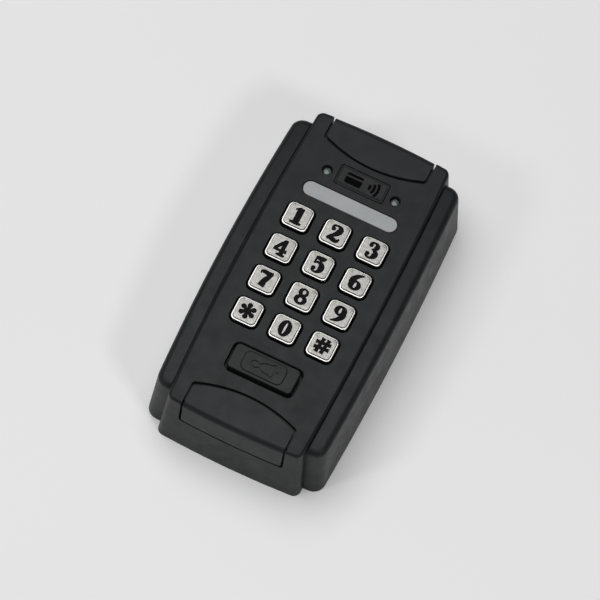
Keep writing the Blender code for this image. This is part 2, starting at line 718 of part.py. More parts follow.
def make_block(name, size, corner, place, low, high, material):
    outline = at(rounded_rectangle(*size, corner, 2), *place)
    return make_object(name, prism(outline, low, high), material)


def make_board_parts():
    make_block("processor_chip", CHIP_SIZE, 0.4 * MM, CHIP_PLACE, UNDER_BOARD - CHIP_HEIGHT, UNDER_BOARD,
               make_material("processor_chip", (0.02, 0.02, 0.02), 0.5))
    make_block("clock_crystal", CRYSTAL_SIZE, 2.1 * MM, CRYSTAL_PLACE, UNDER_BOARD - CRYSTAL_HEIGHT,
               UNDER_BOARD, make_material("clock_crystal", (0.7, 0.7, 0.7), 0.3, 1.0))
    waist = CAPACITOR_RADIUS - GAP
    capacitor = [(CAPACITOR_RADIUS, UNDER_BOARD - CAPACITOR_HEIGHT),
                 (CAPACITOR_RADIUS, UNDER_BOARD - 1.6 * MM), (waist, UNDER_BOARD - 1.3 * MM),
                 (CAPACITOR_RADIUS, UNDER_BOARD - 1.0 * MM), (CAPACITOR_RADIUS, UNDER_BOARD)]
    make_object("power_capacitor", turned(capacitor, *CAPACITOR_PLACE),
                make_material("power_capacitor", (0.03, 0.04, 0.12), 0.35))
    make_sounder()
    make_wire_connector()
    for name, x in (("bar_led_left", -BAR_LED_X), ("bar_led_right", BAR_LED_X)):
        make_block(name, BAR_LED_SIZE, 0.3 * MM, (x, BAR_Y), ON_BOARD, ON_BOARD + BAR_LED_HEIGHT,
                   make_material(name, (0.85, 0.82, 0.6), 0.4))
    for name, x in (("status_led", -WINDOW_X), ("light_sensor", WINDOW_X)):
        dome = [(1.5 * MM, ON_BOARD), (1.5 * MM, ON_BOARD + 1.2 * MM), (1.2 * MM, ON_BOARD + 1.9 * MM),
                (0.6 * MM, ON_BOARD + 2.2 * MM)]
        make_object(name, turned(dome, x, WINDOW_Y, 12), make_material(name, (0.7, 0.72, 0.7), 0.2))


def make_sounder():
    """Round sounder that hangs under the board, with a blind sound hole in its lower face."""
    low = UNDER_BOARD - SOUNDER_HEIGHT
    chamfer = 0.5 * MM
    profile = [(SOUNDER_HOLE_RADIUS, low + 1.5 * MM), (SOUNDER_HOLE_RADIUS, low),
               (SOUNDER_RADIUS - chamfer, low), (SOUNDER_RADIUS, low + chamfer),
               (SOUNDER_RADIUS, UNDER_BOARD)]
    make_object("sounder", turned(profile, *SOUNDER_PLACE, 20),
                make_material("sounder", (0.025, 0.025, 0.025), 0.45))


def make_wire_connector():
    low = UNDER_BOARD - CONNECTOR_HEIGHT
    width = CONNECTOR_WAYS * CONNECTOR_PITCH + 1.5 * MM
    body = make_block("wire_connector", (width, CONNECTOR_DEPTH), 0.4 * MM, (0, CONNECTOR_Y), low,
                      UNDER_BOARD, make_material("wire_connector", (0.8, 0.78, 0.7), 0.5))
    slot = rounded_rectangle(1.6 * MM, 3.6 * MM, 0.2 * MM, 1)
    middle = (CONNECTOR_WAYS - 1) / 2
    slots = [at(slot, (i - middle) * CONNECTOR_PITCH, CONNECTOR_Y) for i in range(CONNECTOR_WAYS)]
    cut(body, make_tool("connector_ways", prisms(slots, low - 1 * MM, low + 5 * MM)))


# ---------------------------------------------------------------- tamper contact

def make_tamper_contact():
    switch_low = UNDER_BOARD - SWITCH_HEIGHT
    button_low = switch_low - 1 * MM
    body = rounded_rectangle(SWITCH_SIZE, SWITCH_SIZE, 0.5 * MM, 2)
    switch = make_object("tamper_switch", prism(at(body, TAMPER_X, TAMPER_Y), switch_low, UNDER_BOARD),
                         make_material("tamper_switch", (0.05, 0.05, 0.05), 0.4))
    button = at(circle(SWITCH_BUTTON_RADIUS, 12), TAMPER_X, TAMPER_Y)
    join(switch, make_tool("switch_button", prism(button, button_low, switch_low + 1 * MM)))
    collar_top = PLUNGER_COLLAR_BOTTOM + 1 * MM
    chamfer = 0.4 * MM
    profile = [(PLUNGER_RADIUS - chamfer, 0.0), (PLUNGER_RADIUS, chamfer),
               (PLUNGER_RADIUS, PLUNGER_COLLAR_BOTTOM), (PLUNGER_COLLAR_RADIUS, PLUNGER_COLLAR_BOTTOM),
               (PLUNGER_COLLAR_RADIUS, collar_top), (PLUNGER_STEM_RADIUS, collar_top),
               (PLUNGER_STEM_RADIUS, button_low - GAP)]
    make_object("tamper_plunger", turned(profile, TAMPER_X, TAMPER_Y),
                make_material("tamper_plunger", (0.75, 0.74, 0.7), 0.45))
    make_spring("tamper_spring", TAMPER_X, TAMPER_Y, collar_top + GAP, switch_low - GAP)


def make_spring(name, x, y, low, high):
    """Coil spring between two heights, its wire a five-sided tube swept along a helix."""
    coil_radius = 2.3 * MM
    wire_radius = 0.3 * MM
    turns = 4
    steps = 10
    sides = 5
    total = turns * steps
    rise = high - low - 2 * wire_radius
    bm = bmesh.new()
    rows = []
    for i in range(total + 1):
        angle = 2 * math.pi * i / steps
        centre_z = low + wire_radius + rise * i / total
        row = []
        for k in range(sides):
            around = 2 * math.pi * k / sides
            radius = coil_radius + wire_radius * math.cos(around)
            row.append(bm.verts.new((x + radius * math.cos(angle), y + radius * math.sin(angle),
                                     centre_z + wire_radius * math.sin(around))))
        rows.append(row)
    for low_row, high_row in zip(rows, rows[1:]):
        for k in range(sides):
            n = (k + 1) % sides
            bm.faces.new((low_row[k], low_row[n], high_row[n], high_row[k]))
    bm.faces.new(rows[0])
    bm.faces.new(rows[-1])
    make_object(name, bm, make_material(name, (0.7, 0.7, 0.7), 0.25, 1.0))


# ---------------------------------------------------------------- fasteners and inlet

def make_screw(name, x, y, head_low, head_radius, head_height, shank_radius, length, points_up, material):
    """Pan-head screw with a cross recess. The shank points up or down from the head's flat side."""
    away = 1 if points_up else -1
    seat = head_low + head_height if points_up else head_low
    crown = seat - away * head_height
    profile = [(shank_radius * 0.5, seat + away * length),
               (shank_radius, seat + away * (length - shank_radius)), (shank_radius, seat),
               (head_radius, seat), (head_radius, seat - away * head_height * 0.6),
               (head_radius * 0.75, crown)]
    if points_up:
        profile.reverse()
    screw = make_object(name, turned(profile, x, y, 14), material)
    arm = head_radius * 0.6
    thin = head_radius * 0.16
    half = head_height * 0.55
    bm = bmesh.new()
    cross = [(thin, thin), (thin, arm), (-thin, arm), (-thin, thin), (-arm, thin), (-arm, -thin),
             (-thin, -thin), (-thin, -arm), (thin, -arm), (thin, -thin), (arm, -thin), (arm, thin)]
    outline = at(cross, x, y)
    add_rings(bm, [flat_ring(outline, crown - half), flat_ring(outline, crown + half)])
    cut(screw, make_tool(name + "_recess", bm))


def make_fasteners():
    for label, side in (("top", 1), ("bottom", -1)):
        name = "fixing_screw_" + label
        make_screw(name, 0, side * COVER_SCREW_Y, SCREW_SEAT + GAP, 3.0 * MM, 2.2 * MM, 1.45 * MM,
                   16 * MM, False, make_material(name, (0.65, 0.65, 0.65), 0.3, 1.0))
    for number, (x, y) in enumerate(corner_places(), start=1):
        name = f"board_screw_{number}"
        make_screw(name, x, y, UNDER_BOARD - 1.4 * MM, 2.1 * MM, 1.4 * MM, 1.0 * MM, 6 * MM, True,
                   make_material(name, (0.65, 0.65, 0.65), 0.3, 1.0))


def make_cable_grommet():
    neck = CABLE_HOLE_RADIUS - GAP
    lip_low = BACK_THICKNESS + GAP
    lip = CABLE_HOLE_RADIUS + 1.8 * MM
    profile = [(CABLE_BORE_RADIUS, 0.2 * MM), (neck, 0.2 * MM), (neck, lip_low), (lip, lip_low),
               (lip, lip_low + 0.7 * MM), (CABLE_BORE_RADIUS + 0.8 * MM, lip_low + 2.0 * MM),
               (CABLE_BORE_RADIUS, lip_low + 2.0 * MM)]
    make_object("cable_grommet", turned_tube(profile, 0, CABLE_Y, 24),
                make_material("cable_grommet", (0.03, 0.03, 0.03), 0.75))


def main():
    clear_scene()
    make_housing()
    make_back_plate()
    make_seal()
    make_cap("top_cap", 1)
    make_cap("bottom_cap", -1)
    for name, x, y in key_places():
        make_key(name, x, y)
    make_bell_button()
    make_keypad_mat()
    make_light_bar()
    make_lens("status_lens", -WINDOW_X)
    make_lens("sensor_lens", WINDOW_X)
    make_name_plate()
    make_board()
    make_antenna_coil()
    make_board_parts()
    make_tamper_contact()
    make_cable_grommet()
    make_fasteners()


main()
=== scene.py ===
"""Looks of the keypad proximity reader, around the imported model's frame. Metres, +Z out of the face."""

import math

import bmesh
import bpy
from mathutils import Matrix, Vector
from mathutils.geometry import delaunay_2d_cdt


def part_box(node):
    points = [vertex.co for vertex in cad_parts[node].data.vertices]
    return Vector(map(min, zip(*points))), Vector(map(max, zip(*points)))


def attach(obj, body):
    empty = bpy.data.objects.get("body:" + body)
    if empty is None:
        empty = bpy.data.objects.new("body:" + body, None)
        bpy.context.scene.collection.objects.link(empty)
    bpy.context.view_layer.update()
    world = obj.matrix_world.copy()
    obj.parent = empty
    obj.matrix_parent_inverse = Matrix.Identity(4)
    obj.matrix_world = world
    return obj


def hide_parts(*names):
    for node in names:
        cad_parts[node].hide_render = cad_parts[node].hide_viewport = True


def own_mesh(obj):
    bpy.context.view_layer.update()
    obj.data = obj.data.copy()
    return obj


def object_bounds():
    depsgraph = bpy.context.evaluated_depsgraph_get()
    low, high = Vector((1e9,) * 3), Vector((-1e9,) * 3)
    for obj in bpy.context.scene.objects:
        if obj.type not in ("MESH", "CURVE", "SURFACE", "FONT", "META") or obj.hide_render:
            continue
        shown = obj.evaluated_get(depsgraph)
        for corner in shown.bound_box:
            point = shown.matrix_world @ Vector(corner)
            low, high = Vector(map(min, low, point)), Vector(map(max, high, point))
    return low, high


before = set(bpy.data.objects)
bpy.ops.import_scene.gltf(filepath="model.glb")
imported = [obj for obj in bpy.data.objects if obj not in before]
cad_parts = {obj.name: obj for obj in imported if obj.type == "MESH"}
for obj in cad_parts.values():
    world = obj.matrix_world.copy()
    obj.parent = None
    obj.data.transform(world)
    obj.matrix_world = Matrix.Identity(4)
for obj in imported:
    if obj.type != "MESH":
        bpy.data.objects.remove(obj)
cad_low, cad_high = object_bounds()

MM = 0.001
GAP = 0.3 * MM

# ---------------------------------------------------------------- sizes, in the frame of the case

DRAFT = 0.060
COLUMN = {"width": 62.05 * MM, "length": cad_high[1] - cad_low[1], "corner": 2.9 * MM,
          "side_bow": 1.44 * MM, "end_bow": 0.88 * MM}
WING = {"width": cad_high[0] - cad_low[0], "length": 128.1 * MM, "corner": 4.9 * MM,
        "side_bow": 1.36 * MM, "end_bow": 0.8 * MM}
COLUMN_END_HEIGHT = 32.9 * MM
COLUMN_CROWN = 1.13 * MM
COLUMN_FILLET = 1.3 * MM
WING_END_HEIGHT = 30.35 * MM
WING_CROWN = 3.05 * MM
WING_FILLET = 2.5 * MM
GROOVE_WIDTH = 0.5 * MM
GROOVE_DEPTH = 1.2 * MM
WALL = 2.3 * MM
ROOF_UNDERSIDE = 30.4 * MM
WING_CAVITY_TOP = 25.3 * MM
END_CAVITY_TOP = 28.8 * MM
END_CAVITY_HALF_LENGTH = 63.1 * MM
LOW_CAVITY_TOP = 17.5 * MM
KEYPAD_CAVITY_HALF_LENGTH = 50.3 * MM
LEAST_PLAN_CORNER = 0.6 * MM
# Heights clear of the case, and how far a tool reaches past the face that it cuts or joins.
ABOVE = 42.0 * MM
BELOW = -1.0 * MM
REACH = 1.0 * MM
# How much further in each cavity lies than the wall, so that no two cavities share a wall.
CAVITY_STAGGER = (0.0, 0.02 * MM, 0.05 * MM, 0.08 * MM)
FLANGE_TOP = ROOF_UNDERSIDE - GAP
FLANGE_BOTTOM = 29.3 * MM

KEY_SIZE = 10.4 * MM
KEY_CORNER = 2.2 * MM
KEY_TOP_CORNER = 1.9 * MM
KEY_CORNER_SHRINK = 0.55
KEY_CLEARANCE = 0.65 * MM
BELL_SIZE = (26.5 * MM, 10.6 * MM)
BELL_CORNER = 1.7 * MM
BELL_CLEARANCE = 1.05 * MM
BELL_CORNER_SHRINK = 0.7
BELL_EDGE = 0.5 * MM
BAR_SIZE = (38.8 * MM, 6.1 * MM)
BAR_EDGE = 0.35 * MM
BAR_LIP = 0.2 * MM
BAR_ROUNDING = 0.49
WINDOW_RADIUS = 2.0 * MM
LENS_RADIUS = 1.6 * MM
LENS_DOME = 0.5 * MM
OPENING_LIP = 0.28 * MM
LIP_FLARE = 1.6
LIP_CLEARANCE = 0.3 * MM
CAP_HALF_WIDTH = 21.55 * MM
CAP_SHOULDER_Y = 55.7 * MM
CAP_APEX_Y = 52.0 * MM
CAP_CORNER = 1.7 * MM
CAP_LOWER_EDGE = 19.2 * MM
CAP_WALL_CORNER = 1.5 * MM
CAP_ARCH_GAP = 1.05 * MM
CAP_SIDE_GAP = 0.9 * MM
CAP_LOWER_GAP = 0.9 * MM
CAP_THICKNESS = 1.7 * MM
CAP_FILLET = 2.2 * MM
CAP_EDGE = 0.15 * MM
CAP_FRONT_SLACK = 0.05 * MM
CAP_SPACE_BOTTOM = 11.0 * MM
CAP_TAB = (3.0 * MM, 1.2 * MM)
CAP_TAB_CORNER = 0.3 * MM
CAP_TAB_X = 13.0 * MM
CAP_TAB_BOTTOM = 27.0 * MM
CAP_TAB_SLOT = (4.0 * MM, 2.2 * MM)
CAP_TAB_SLOT_CORNER = 0.8 * MM
BOSS_RADIUS = 2.4 * MM
BOSS_BORE_RADIUS = 1.3 * MM
BOSS_BORE_TOP = 29.6 * MM
SCREW_SEAT = 19.0 * MM
SCREW_TUBE_RADIUS = 4.7 * MM
SCREW_TUBE_BOTTOM = 7.7 * MM
COUNTERBORE_RADIUS = 3.4 * MM
SCREW_HOLE_RADIUS = 1.8 * MM
PLATE_THICKNESS = 0.9 * MM
PLATE_SEAT_CORNER = 1.1 * MM

END_STEPS = 8
CORNER_STEPS = 8
SIDE_STEPS = 40
FILLET_STEPS = 6
LIP_STEPS = 4
BELL_EDGE_STEPS = 8
BAR_EDGE_STEPS = 5
LENS_DOME_STEPS = 9
TAB_CORNER_STEPS = 3
BOSS_STEPS = 32
BORE_STEPS = 24
EDGE_SEGMENTS = 3
EDGE_ANGLE = 40
LARGE_FACE_WEIGHT = 90


def centre_of(node):
    low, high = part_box(node)
    return [(a + b) / 2 for a, b in zip(low, high)]


# ---------------------------------------------------------------- outlines and solids

def case_outline(width, length, corner, side_bow, end_bow):
    """Plan outline with bowed sides and ends, from the middle of the -Y end, counter-clockwise."""
    cx = width / 2 - side_bow - corner
    cy = length / 2 - end_bow - corner
    quarter = math.pi / 2
    right = []
    for i in range(END_STEPS):
        x = cx * i / END_STEPS
        right.append((x, end_bow * (x / cx) ** 2 - length / 2))
    for i in range(CORNER_STEPS):
        angle = quarter * (i / CORNER_STEPS - 1)
        right.append((cx + corner * math.cos(angle), corner * math.sin(angle) - cy))
    for i in range(SIDE_STEPS + 1):
        y = cy * (2 * i / SIDE_STEPS - 1)
        right.append((width / 2 - side_bow * (y / cy) ** 2, y))
    for i in range(1, CORNER_STEPS + 1):
        angle = quarter * i / CORNER_STEPS
        right.append((cx + corner * math.cos(angle), cy + corner * math.sin(angle)))
    for i in range(1, END_STEPS + 1):
        x = cx * (1 - i / END_STEPS)
        right.append((x, length / 2 - end_bow * (x / cx) ** 2))
    left = [(-x, y) for x, y in reversed(right[1:-1])]
    return right + left


def drafted_outline(plan, inset, height):
    shrink = inset + DRAFT * height
    corner = max(plan["corner"] - inset, LEAST_PLAN_CORNER)
    return case_outline(plan["width"] - 2 * shrink, plan["length"] - 2 * shrink,
                        corner, plan["side_bow"], plan["end_bow"])


def rounded_rectangle(width, length, radius, steps=8):
    points = []
    for k in range(4):
        sx = 1 if k in (0, 3) else -1
        sy = 1 if k < 2 else -1
        for i in range(steps + 1):
            angle = math.pi / 2 * (k + i / steps)
            points.append((sx * (width / 2 - radius) + radius * math.cos(angle),
                           sy * (length / 2 - radius) + radius * math.sin(angle)))
    return points


def circle(radius, steps=48):
    turn = 2 * math.pi / steps
    return [(radius * math.cos(turn * i), radius * math.sin(turn * i)) for i in range(steps)]


def at(points, x, y):
    return [(px + x, py + y) for px, py in points]


def flat_ring(points, z):
    return [(x, y, z) for x, y in points]


def quarter_round(radius, steps):
    """Steps up round an outer edge: how far each one is drawn in, and how far it is below the top."""
    for i in range(steps + 1):
        angle = math.pi / 2 * i / steps
        yield radius * (1 - math.cos(angle)), radius * (1 - math.sin(angle))


def add_rings(bm, rings, closed_top=True, closed_bottom=True, slots=None):
    """Walls between rings of equal length. Returns the rows of vertices."""
    rows = [[bm.verts.new(point) for point in ring] for ring in rings]
    count = len(rows[0])
    for level, (low, high) in enumerate(zip(rows, rows[1:])):
        for i in range(count):
            j = (i + 1) % count
            face = bm.faces.new((low[i], low[j], high[j], high[i]))
            face.material_index = slots[level] if slots else 0
    if closed_bottom:
        bm.faces.new(list(reversed(rows[0])))
    if closed_top:
        bm.faces.new(rows[-1])
    return rows


def ring_solid(rings):
    bm = bmesh.new()
    add_rings(bm, rings)
    return bm


def prism(points, low, high):
    return ring_solid([flat_ring(points, low), flat_ring(points, high)])


def prisms(outlines, low, high):
    bm = bmesh.new()
    for points in outlines:
        add_rings(bm, [flat_ring(points, low), flat_ring(points, high)])
    return bm


def drafted_block(plan, inset, low, high):
    return ring_solid([flat_ring(drafted_outline(plan, inset, low), low),
                       flat_ring(drafted_outline(plan, inset, high), high)])


def column_height(y):
    return COLUMN_END_HEIGHT + COLUMN_CROWN * (1 - (2 * y / COLUMN["length"]) ** 2)


def wing_height(y):
    return WING_END_HEIGHT + WING_CROWN * (1 - (2 * y / WING["length"]) ** 2)


def ladder(bm, row):
    """Closes a symmetric ring with strips across X, so that a surface that varies with Y stays true."""
    count = len(row)
    for i in range(count // 2):
        corners = row[i:i + 2] + [row[-i - 1], row[(count - i) % count]]
        bm.faces.new(list(dict.fromkeys(corners)))


def crowned_block(plan, height, end_height, inset, low, fillet):
    bm = bmesh.new()
    rings = [flat_ring(drafted_outline(plan, inset, low), low)]
    for draw_in, fall in quarter_round(fillet, FILLET_STEPS):
        drop = inset + fall
        outline = drafted_outline(plan, inset + draw_in, end_height - drop)
        rings.append([(x, y, height(y) - drop) for x, y in outline])
    rows = add_rings(bm, rings, closed_top=False)
    ladder(bm, rows[-1])
    return bm


def groove_block():
    outline = drafted_outline(COLUMN, -GROOVE_WIDTH, WING_END_HEIGHT)
    bm = bmesh.new()
    floor = [(x, y, wing_height(y) - GROOVE_DEPTH) for x, y in outline]
    rows = add_rings(bm, [floor, flat_ring(outline, ABOVE)], closed_bottom=False)
    ladder(bm, rows[0])
    return bm


# ---------------------------------------------------------------- objects

def new_object(name, bm):
    bmesh.ops.recalc_face_normals(bm, faces=bm.faces)
    mesh = bpy.data.meshes.new(name)
    bm.to_mesh(mesh)
    bm.free()
    item = bpy.data.objects.new(name, mesh)
    bpy.context.scene.collection.objects.link(item)
    return item


def combine(base, steps):
    """Applies Boolean steps, each (operation, bmesh or object), to a base and removes the tools."""
    tools = []
    for operation, shape in steps:
        tool = shape if isinstance(shape, bpy.types.Object) else new_object("tool", shape)
        modifier = base.modifiers.new("step", "BOOLEAN")
        modifier.operation = operation
        modifier.solver = "EXACT"
        modifier.object = tool
        tools.append(tool)
    flatten(base)
    for tool in tools:
        bpy.data.objects.remove(tool, do_unlink=True)
    return base


def flatten(item):
    """Replaces an object's mesh by the one that its modifiers give."""
    depsgraph = bpy.context.evaluated_depsgraph_get()
    mesh = bpy.data.meshes.new_from_object(item.evaluated_get(depsgraph))
    item.modifiers.clear()
    item.data = mesh


def shade(item, angle=35):
    """Smooth shading with sharp edges kept, where large faces lead the direction of the surface."""
    item.data.shade_smooth()
    item.data.set_sharp_from_angle(angle=math.radians(angle))
    weighted = item.modifiers.new("weighted", "WEIGHTED_NORMAL")
    weighted.weight = LARGE_FACE_WEIGHT
    weighted.keep_sharp = True
    flatten(item)


def dress(item, *materials):
    slots = item.data.materials
    for index, material in enumerate(materials):
        if index < len(slots):
            slots[index] = material
        else:
            slots.append(material)


# ---------------------------------------------------------------- materials

# The part of a noise's range that is spread over what it drives.
NOISE_RANGE = (0.3, 0.7)


class Nodes:
    """Short hand for building a material's node tree."""

    def __init__(self, name):
        self.material = bpy.data.materials.new(name)
        self.material.use_nodes = True
        self.tree = self.material.node_tree
        self.shader = self.tree.nodes["Principled BSDF"]
        self.coordinates = self.add("ShaderNodeTexCoord").outputs["Object"]

    def add(self, kind, **values):
        node = self.tree.nodes.new(kind)
        for key, value in values.items():
            setattr(node, key, value)
        return node

    def link(self, source, target):
        self.tree.links.new(source, target)

    def noise(self, size, detail, roughness=0.55, stretch=(1, 1, 1)):
        """Noise whose features are about `size` metres wide."""
        mapping = self.add("ShaderNodeMapping")
        mapping.inputs["Scale"].default_value = stretch
        self.link(self.coordinates, mapping.inputs["Vector"])
        node = self.add("ShaderNodeTexNoise")
        node.inputs["Scale"].default_value = 1.0 / size
        node.inputs["Detail"].default_value = detail
        node.inputs["Roughness"].default_value = roughness
        self.link(mapping.outputs["Vector"], node.inputs["Vector"])
        return node.outputs["Fac"]

    def remap(self, source, low, high):
        node = self.add("ShaderNodeMapRange")
        node.inputs["From Min"].default_value, node.inputs["From Max"].default_value = NOISE_RANGE
        node.inputs["To Min"].default_value = low
        node.inputs["To Max"].default_value = high
        self.link(source, node.inputs["Value"])
        return node.outputs["Result"]

    def colours(self, source, dark, light):
        node = self.add("ShaderNodeMix", data_type="RGBA")
        node.inputs["A"].default_value = (*dark, 1)
        node.inputs["B"].default_value = (*light, 1)
        self.link(source, node.inputs["Factor"])
        self.link(node.outputs["Result"], self.shader.inputs["Base Color"])

    def bump(self, source, depth, previous=None):
        node = self.add("ShaderNodeBump")
        node.inputs["Distance"].default_value = depth
        node.inputs["Strength"].default_value = 1.0
        self.link(source, node.inputs["Height"])
        if previous:
            self.link(previous, node.inputs["Normal"])
        self.link(node.outputs["Normal"], self.shader.inputs["Normal"])
        return node.outputs["Normal"]

    def set(self, **values):
        for key, value in values.items():
            self.shader.inputs[key.replace("_", " ").title().replace("Ior", "IOR")].default_value = value
        return self


def surface(name, colours, rough, bumps, **settings):
    """Material of (noise, dark, light) colours, (noise, low, high) roughness and (noise, depth) bumps.
    A noise is its feature size in metres, its detail and, where they differ from the usual, its roughness
    and stretch."""
    n = Nodes(name)
    noise, dark, light = colours
    n.colours(n.remap(n.noise(*noise), 0, 1), dark, light)
    noise, low, high = rough
    n.link(n.remap(n.noise(*noise), low, high), n.shader.inputs["Roughness"])
    previous = None
    for noise, depth in bumps:
        previous = n.bump(n.noise(*noise), depth, previous)
    return n.set(**settings).material


MOULDED_GRAIN = (((0.00016, 2, 0.6), 0.000012), ((0.0022, 3), 0.000006))
# Each plastic: its name, darkest and lightest colour, range of roughness and specular level.
PLASTICS = {
    "case": ("case_moulding", (0.0125, 0.0137, 0.0148), (0.0172, 0.0188, 0.020), (0.40, 0.52), 0.22),
    "trim": ("trim_moulding", (0.015, 0.0165, 0.0175), (0.021, 0.0228, 0.024), (0.40, 0.50), 0.22),
    "button": ("button_moulding", (0.0115, 0.0122, 0.013), (0.0162, 0.0172, 0.018), (0.34, 0.44), 0.22),
    "plate": ("plate_moulding", (0.010, 0.011, 0.012), (0.013, 0.014, 0.015), (0.34, 0.42), 0.22),
    "ink": ("mark_ink", (0.001, 0.001, 0.001), (0.002, 0.002, 0.002), (0.60, 0.70), 0.04),
}


def make_materials():
    m = {}
    for key, (name, dark, light, rough, specular) in PLASTICS.items():
        m[key] = surface(name, ((0.012, 4), dark, light), ((0.005, 5), *rough), MOULDED_GRAIN,
                         specular_ior_level=specular)
    m["key_top"] = surface(
        "key_satin", ((0.00045, 3), (0.22, 0.218, 0.21), (0.45, 0.445, 0.428)), ((0.0009, 3), 0.34, 0.50),
        [((0.00045, 2, 0.6), 0.00004)], metallic=1.0)
    m["key_side"] = surface(
        "key_polish", ((0.002, 3), (0.47, 0.465, 0.45), (0.56, 0.552, 0.535)), ((0.0012, 4), 0.20, 0.30),
        [((0.0016, 2), 0.000006)], metallic=1.0)
    # Black ink for the numerals, also laid on the lowest bands of each key as painted shade in the gap round
    # it.
    m["key_ink_and_shade"] = surface(
        "key_ink_and_shade", ((0.0008, 3), (0.0012, 0.0011, 0.001), (0.003, 0.0028, 0.0025)),
        ((0.0006, 3), 0.45, 0.60), [((0.0004, 2), 0.00001)], specular_ior_level=0.10)
    m["light_guide"] = surface(
        "light_guide", ((0.008, 3), (0.355, 0.375, 0.38), (0.41, 0.425, 0.43)), ((0.004, 4), 0.30, 0.42),
        [((0.0009, 3), 0.000006)], subsurface_weight=0.15, subsurface_scale=0.002)
    m["lens"] = surface(
        "window_lens", ((0.0015, 3), (0.075, 0.09, 0.088), (0.12, 0.14, 0.135)), ((0.0012, 4), 0.10, 0.22),
        [], coat_weight=0.3, coat_roughness=0.05)
    return m


def carried_material(name, dark, light, rough, metallic, size, depth=0.00001, stretch=(1, 1, 1)):
    """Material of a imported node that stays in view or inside."""
    return surface(name, ((size, 4, 0.6, stretch), dark, light),
                   ((size * 0.7, 3), rough * 0.8, rough * 1.2),
                   [((size * 0.25, 2, 0.6, stretch), depth)], metallic=metallic)


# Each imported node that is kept: what carried_material is given for it.
CARRIED = {
    "back_plate": ("back_moulding", (0.013, 0.014, 0.015), (0.016, 0.017, 0.018), 0.5, 0.0, 0.0015),
    "back_seal": ("seal_rubber", (0.012, 0.012, 0.012), (0.022, 0.022, 0.021), 0.8, 0.0, 0.002, 0.00003),
    "cable_grommet": ("inlet_rubber", (0.012, 0.012, 0.012), (0.022, 0.022, 0.021), 0.75, 0.0, 0.002,
                      0.00003),
    "circuit_board": ("board_mask", (0.010, 0.085, 0.035), (0.018, 0.13, 0.055), 0.35, 0.0, 0.006, 0.00002),
    "antenna_coil": ("coil_copper", (0.45, 0.17, 0.06), (0.62, 0.27, 0.10), 0.35, 0.9, 0.0008, 0.00004,
                     (0.1, 0.1, 4)),
    "processor_chip": ("chip_epoxy", (0.012, 0.012, 0.013), (0.022, 0.022, 0.023), 0.55, 0.0, 0.001),
    "sounder": ("sounder_case", (0.012, 0.012, 0.013), (0.020, 0.020, 0.021), 0.45, 0.0, 0.002),
    "tamper_switch": ("switch_case", (0.015, 0.015, 0.016), (0.03, 0.03, 0.03), 0.45, 0.0, 0.001),
    "tamper_plunger": ("plunger_nylon", (0.60, 0.58, 0.52), (0.70, 0.68, 0.62), 0.45, 0.0, 0.003),
    "tamper_spring": ("spring_wire", (0.50, 0.50, 0.49), (0.62, 0.62, 0.60), 0.28, 1.0, 0.0006, 0.000005),
    "clock_crystal": ("crystal_can", (0.55, 0.55, 0.54), (0.66, 0.66, 0.64), 0.30, 1.0, 0.001),
    "power_capacitor": ("capacitor_sleeve", (0.010, 0.015, 0.05), (0.02, 0.03, 0.09), 0.35, 0.0, 0.003),
    "wire_connector": ("connector_nylon", (0.62, 0.60, 0.53), (0.72, 0.70, 0.63), 0.45, 0.0, 0.003),
}


def dress_carried_nodes():
    for node, values in CARRIED.items():
        dress(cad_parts[node], carried_material(*values))
    led = carried_material("led_epoxy", (0.60, 0.60, 0.50), (0.75, 0.75, 0.65), 0.2, 0.0, 0.001, 0.000005)
    for node in ("bar_led_left", "bar_led_right", "status_led", "light_sensor"):
        dress(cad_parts[node], led)
    steel = carried_material("screw_zinc", (0.45, 0.45, 0.44), (0.60, 0.60, 0.58), 0.30, 1.0, 0.0008)
    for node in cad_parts:
        if node.startswith(("board_screw", "fixing_screw")):
            dress(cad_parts[node], steel)


# ---------------------------------------------------------------- trim caps

ARCH_STEPS = 40
ARCH_CORNER_STEPS = 5
CAP_FRONT_STEPS = 8


def cap_plan(side, is_cap):
    """Plan of a cap, or of the wider seat it lies in: an arch between two shoulders, open to the end."""
    half = CAP_HALF_WIDTH - is_cap * CAP_SIDE_GAP
    apex = CAP_APEX_Y + is_cap * CAP_ARCH_GAP
    shoulder = CAP_SHOULDER_Y + is_cap * CAP_ARCH_GAP
    rise = shoulder - apex
    corner = CAP_CORNER
    chord = half - corner
    radius = (chord ** 2 + rise ** 2) / (2 * rise)
    sweep = math.asin(chord / radius)
    outer = COLUMN["length"] / 2 + 5 * REACH
    rounding = list(quarter_round(corner, ARCH_CORNER_STEPS))[:-1]
    points = [(half, outer)]
    points += [(half - draw_in, shoulder + fall) for draw_in, fall in rounding]
    for i in range(ARCH_STEPS + 1):
        angle = sweep * (1 - 2 * i / ARCH_STEPS)
        points.append((radius * math.sin(angle), apex + radius * (1 - math.cos(angle))))
    points += [(draw_in - half, shoulder + fall) for draw_in, fall in reversed(rounding)]
    points.append((-half, outer))
    return [(x, side * y) for x, y in points]


def cap_front(side, is_cap):
    """Outline of a cap or its seat as seen on the end wall, run through the end of the case."""
    half = CAP_HALF_WIDTH - is_cap * CAP_SIDE_GAP + CAP_FRONT_SLACK
    low = CAP_LOWER_EDGE + is_cap * CAP_LOWER_GAP
    radius = CAP_WALL_CORNER
    outline = [(half, ABOVE), (-half, ABOVE)]
    for k, sign in ((0, -1), (1, 1)):
        for i in range(CAP_FRONT_STEPS + 1):
            angle = math.pi / 2 * (k + i / CAP_FRONT_STEPS)
            outline.append((sign * (half - radius) - radius * math.cos(angle),
                            low + radius - radius * math.sin(angle)))
    near = side * (CAP_APEX_Y - 2 * REACH)
    far = side * (COLUMN["length"] / 2 + 6 * REACH)
    return ring_solid([[(x, y, z) for x, z in outline] for y in (near, far)])


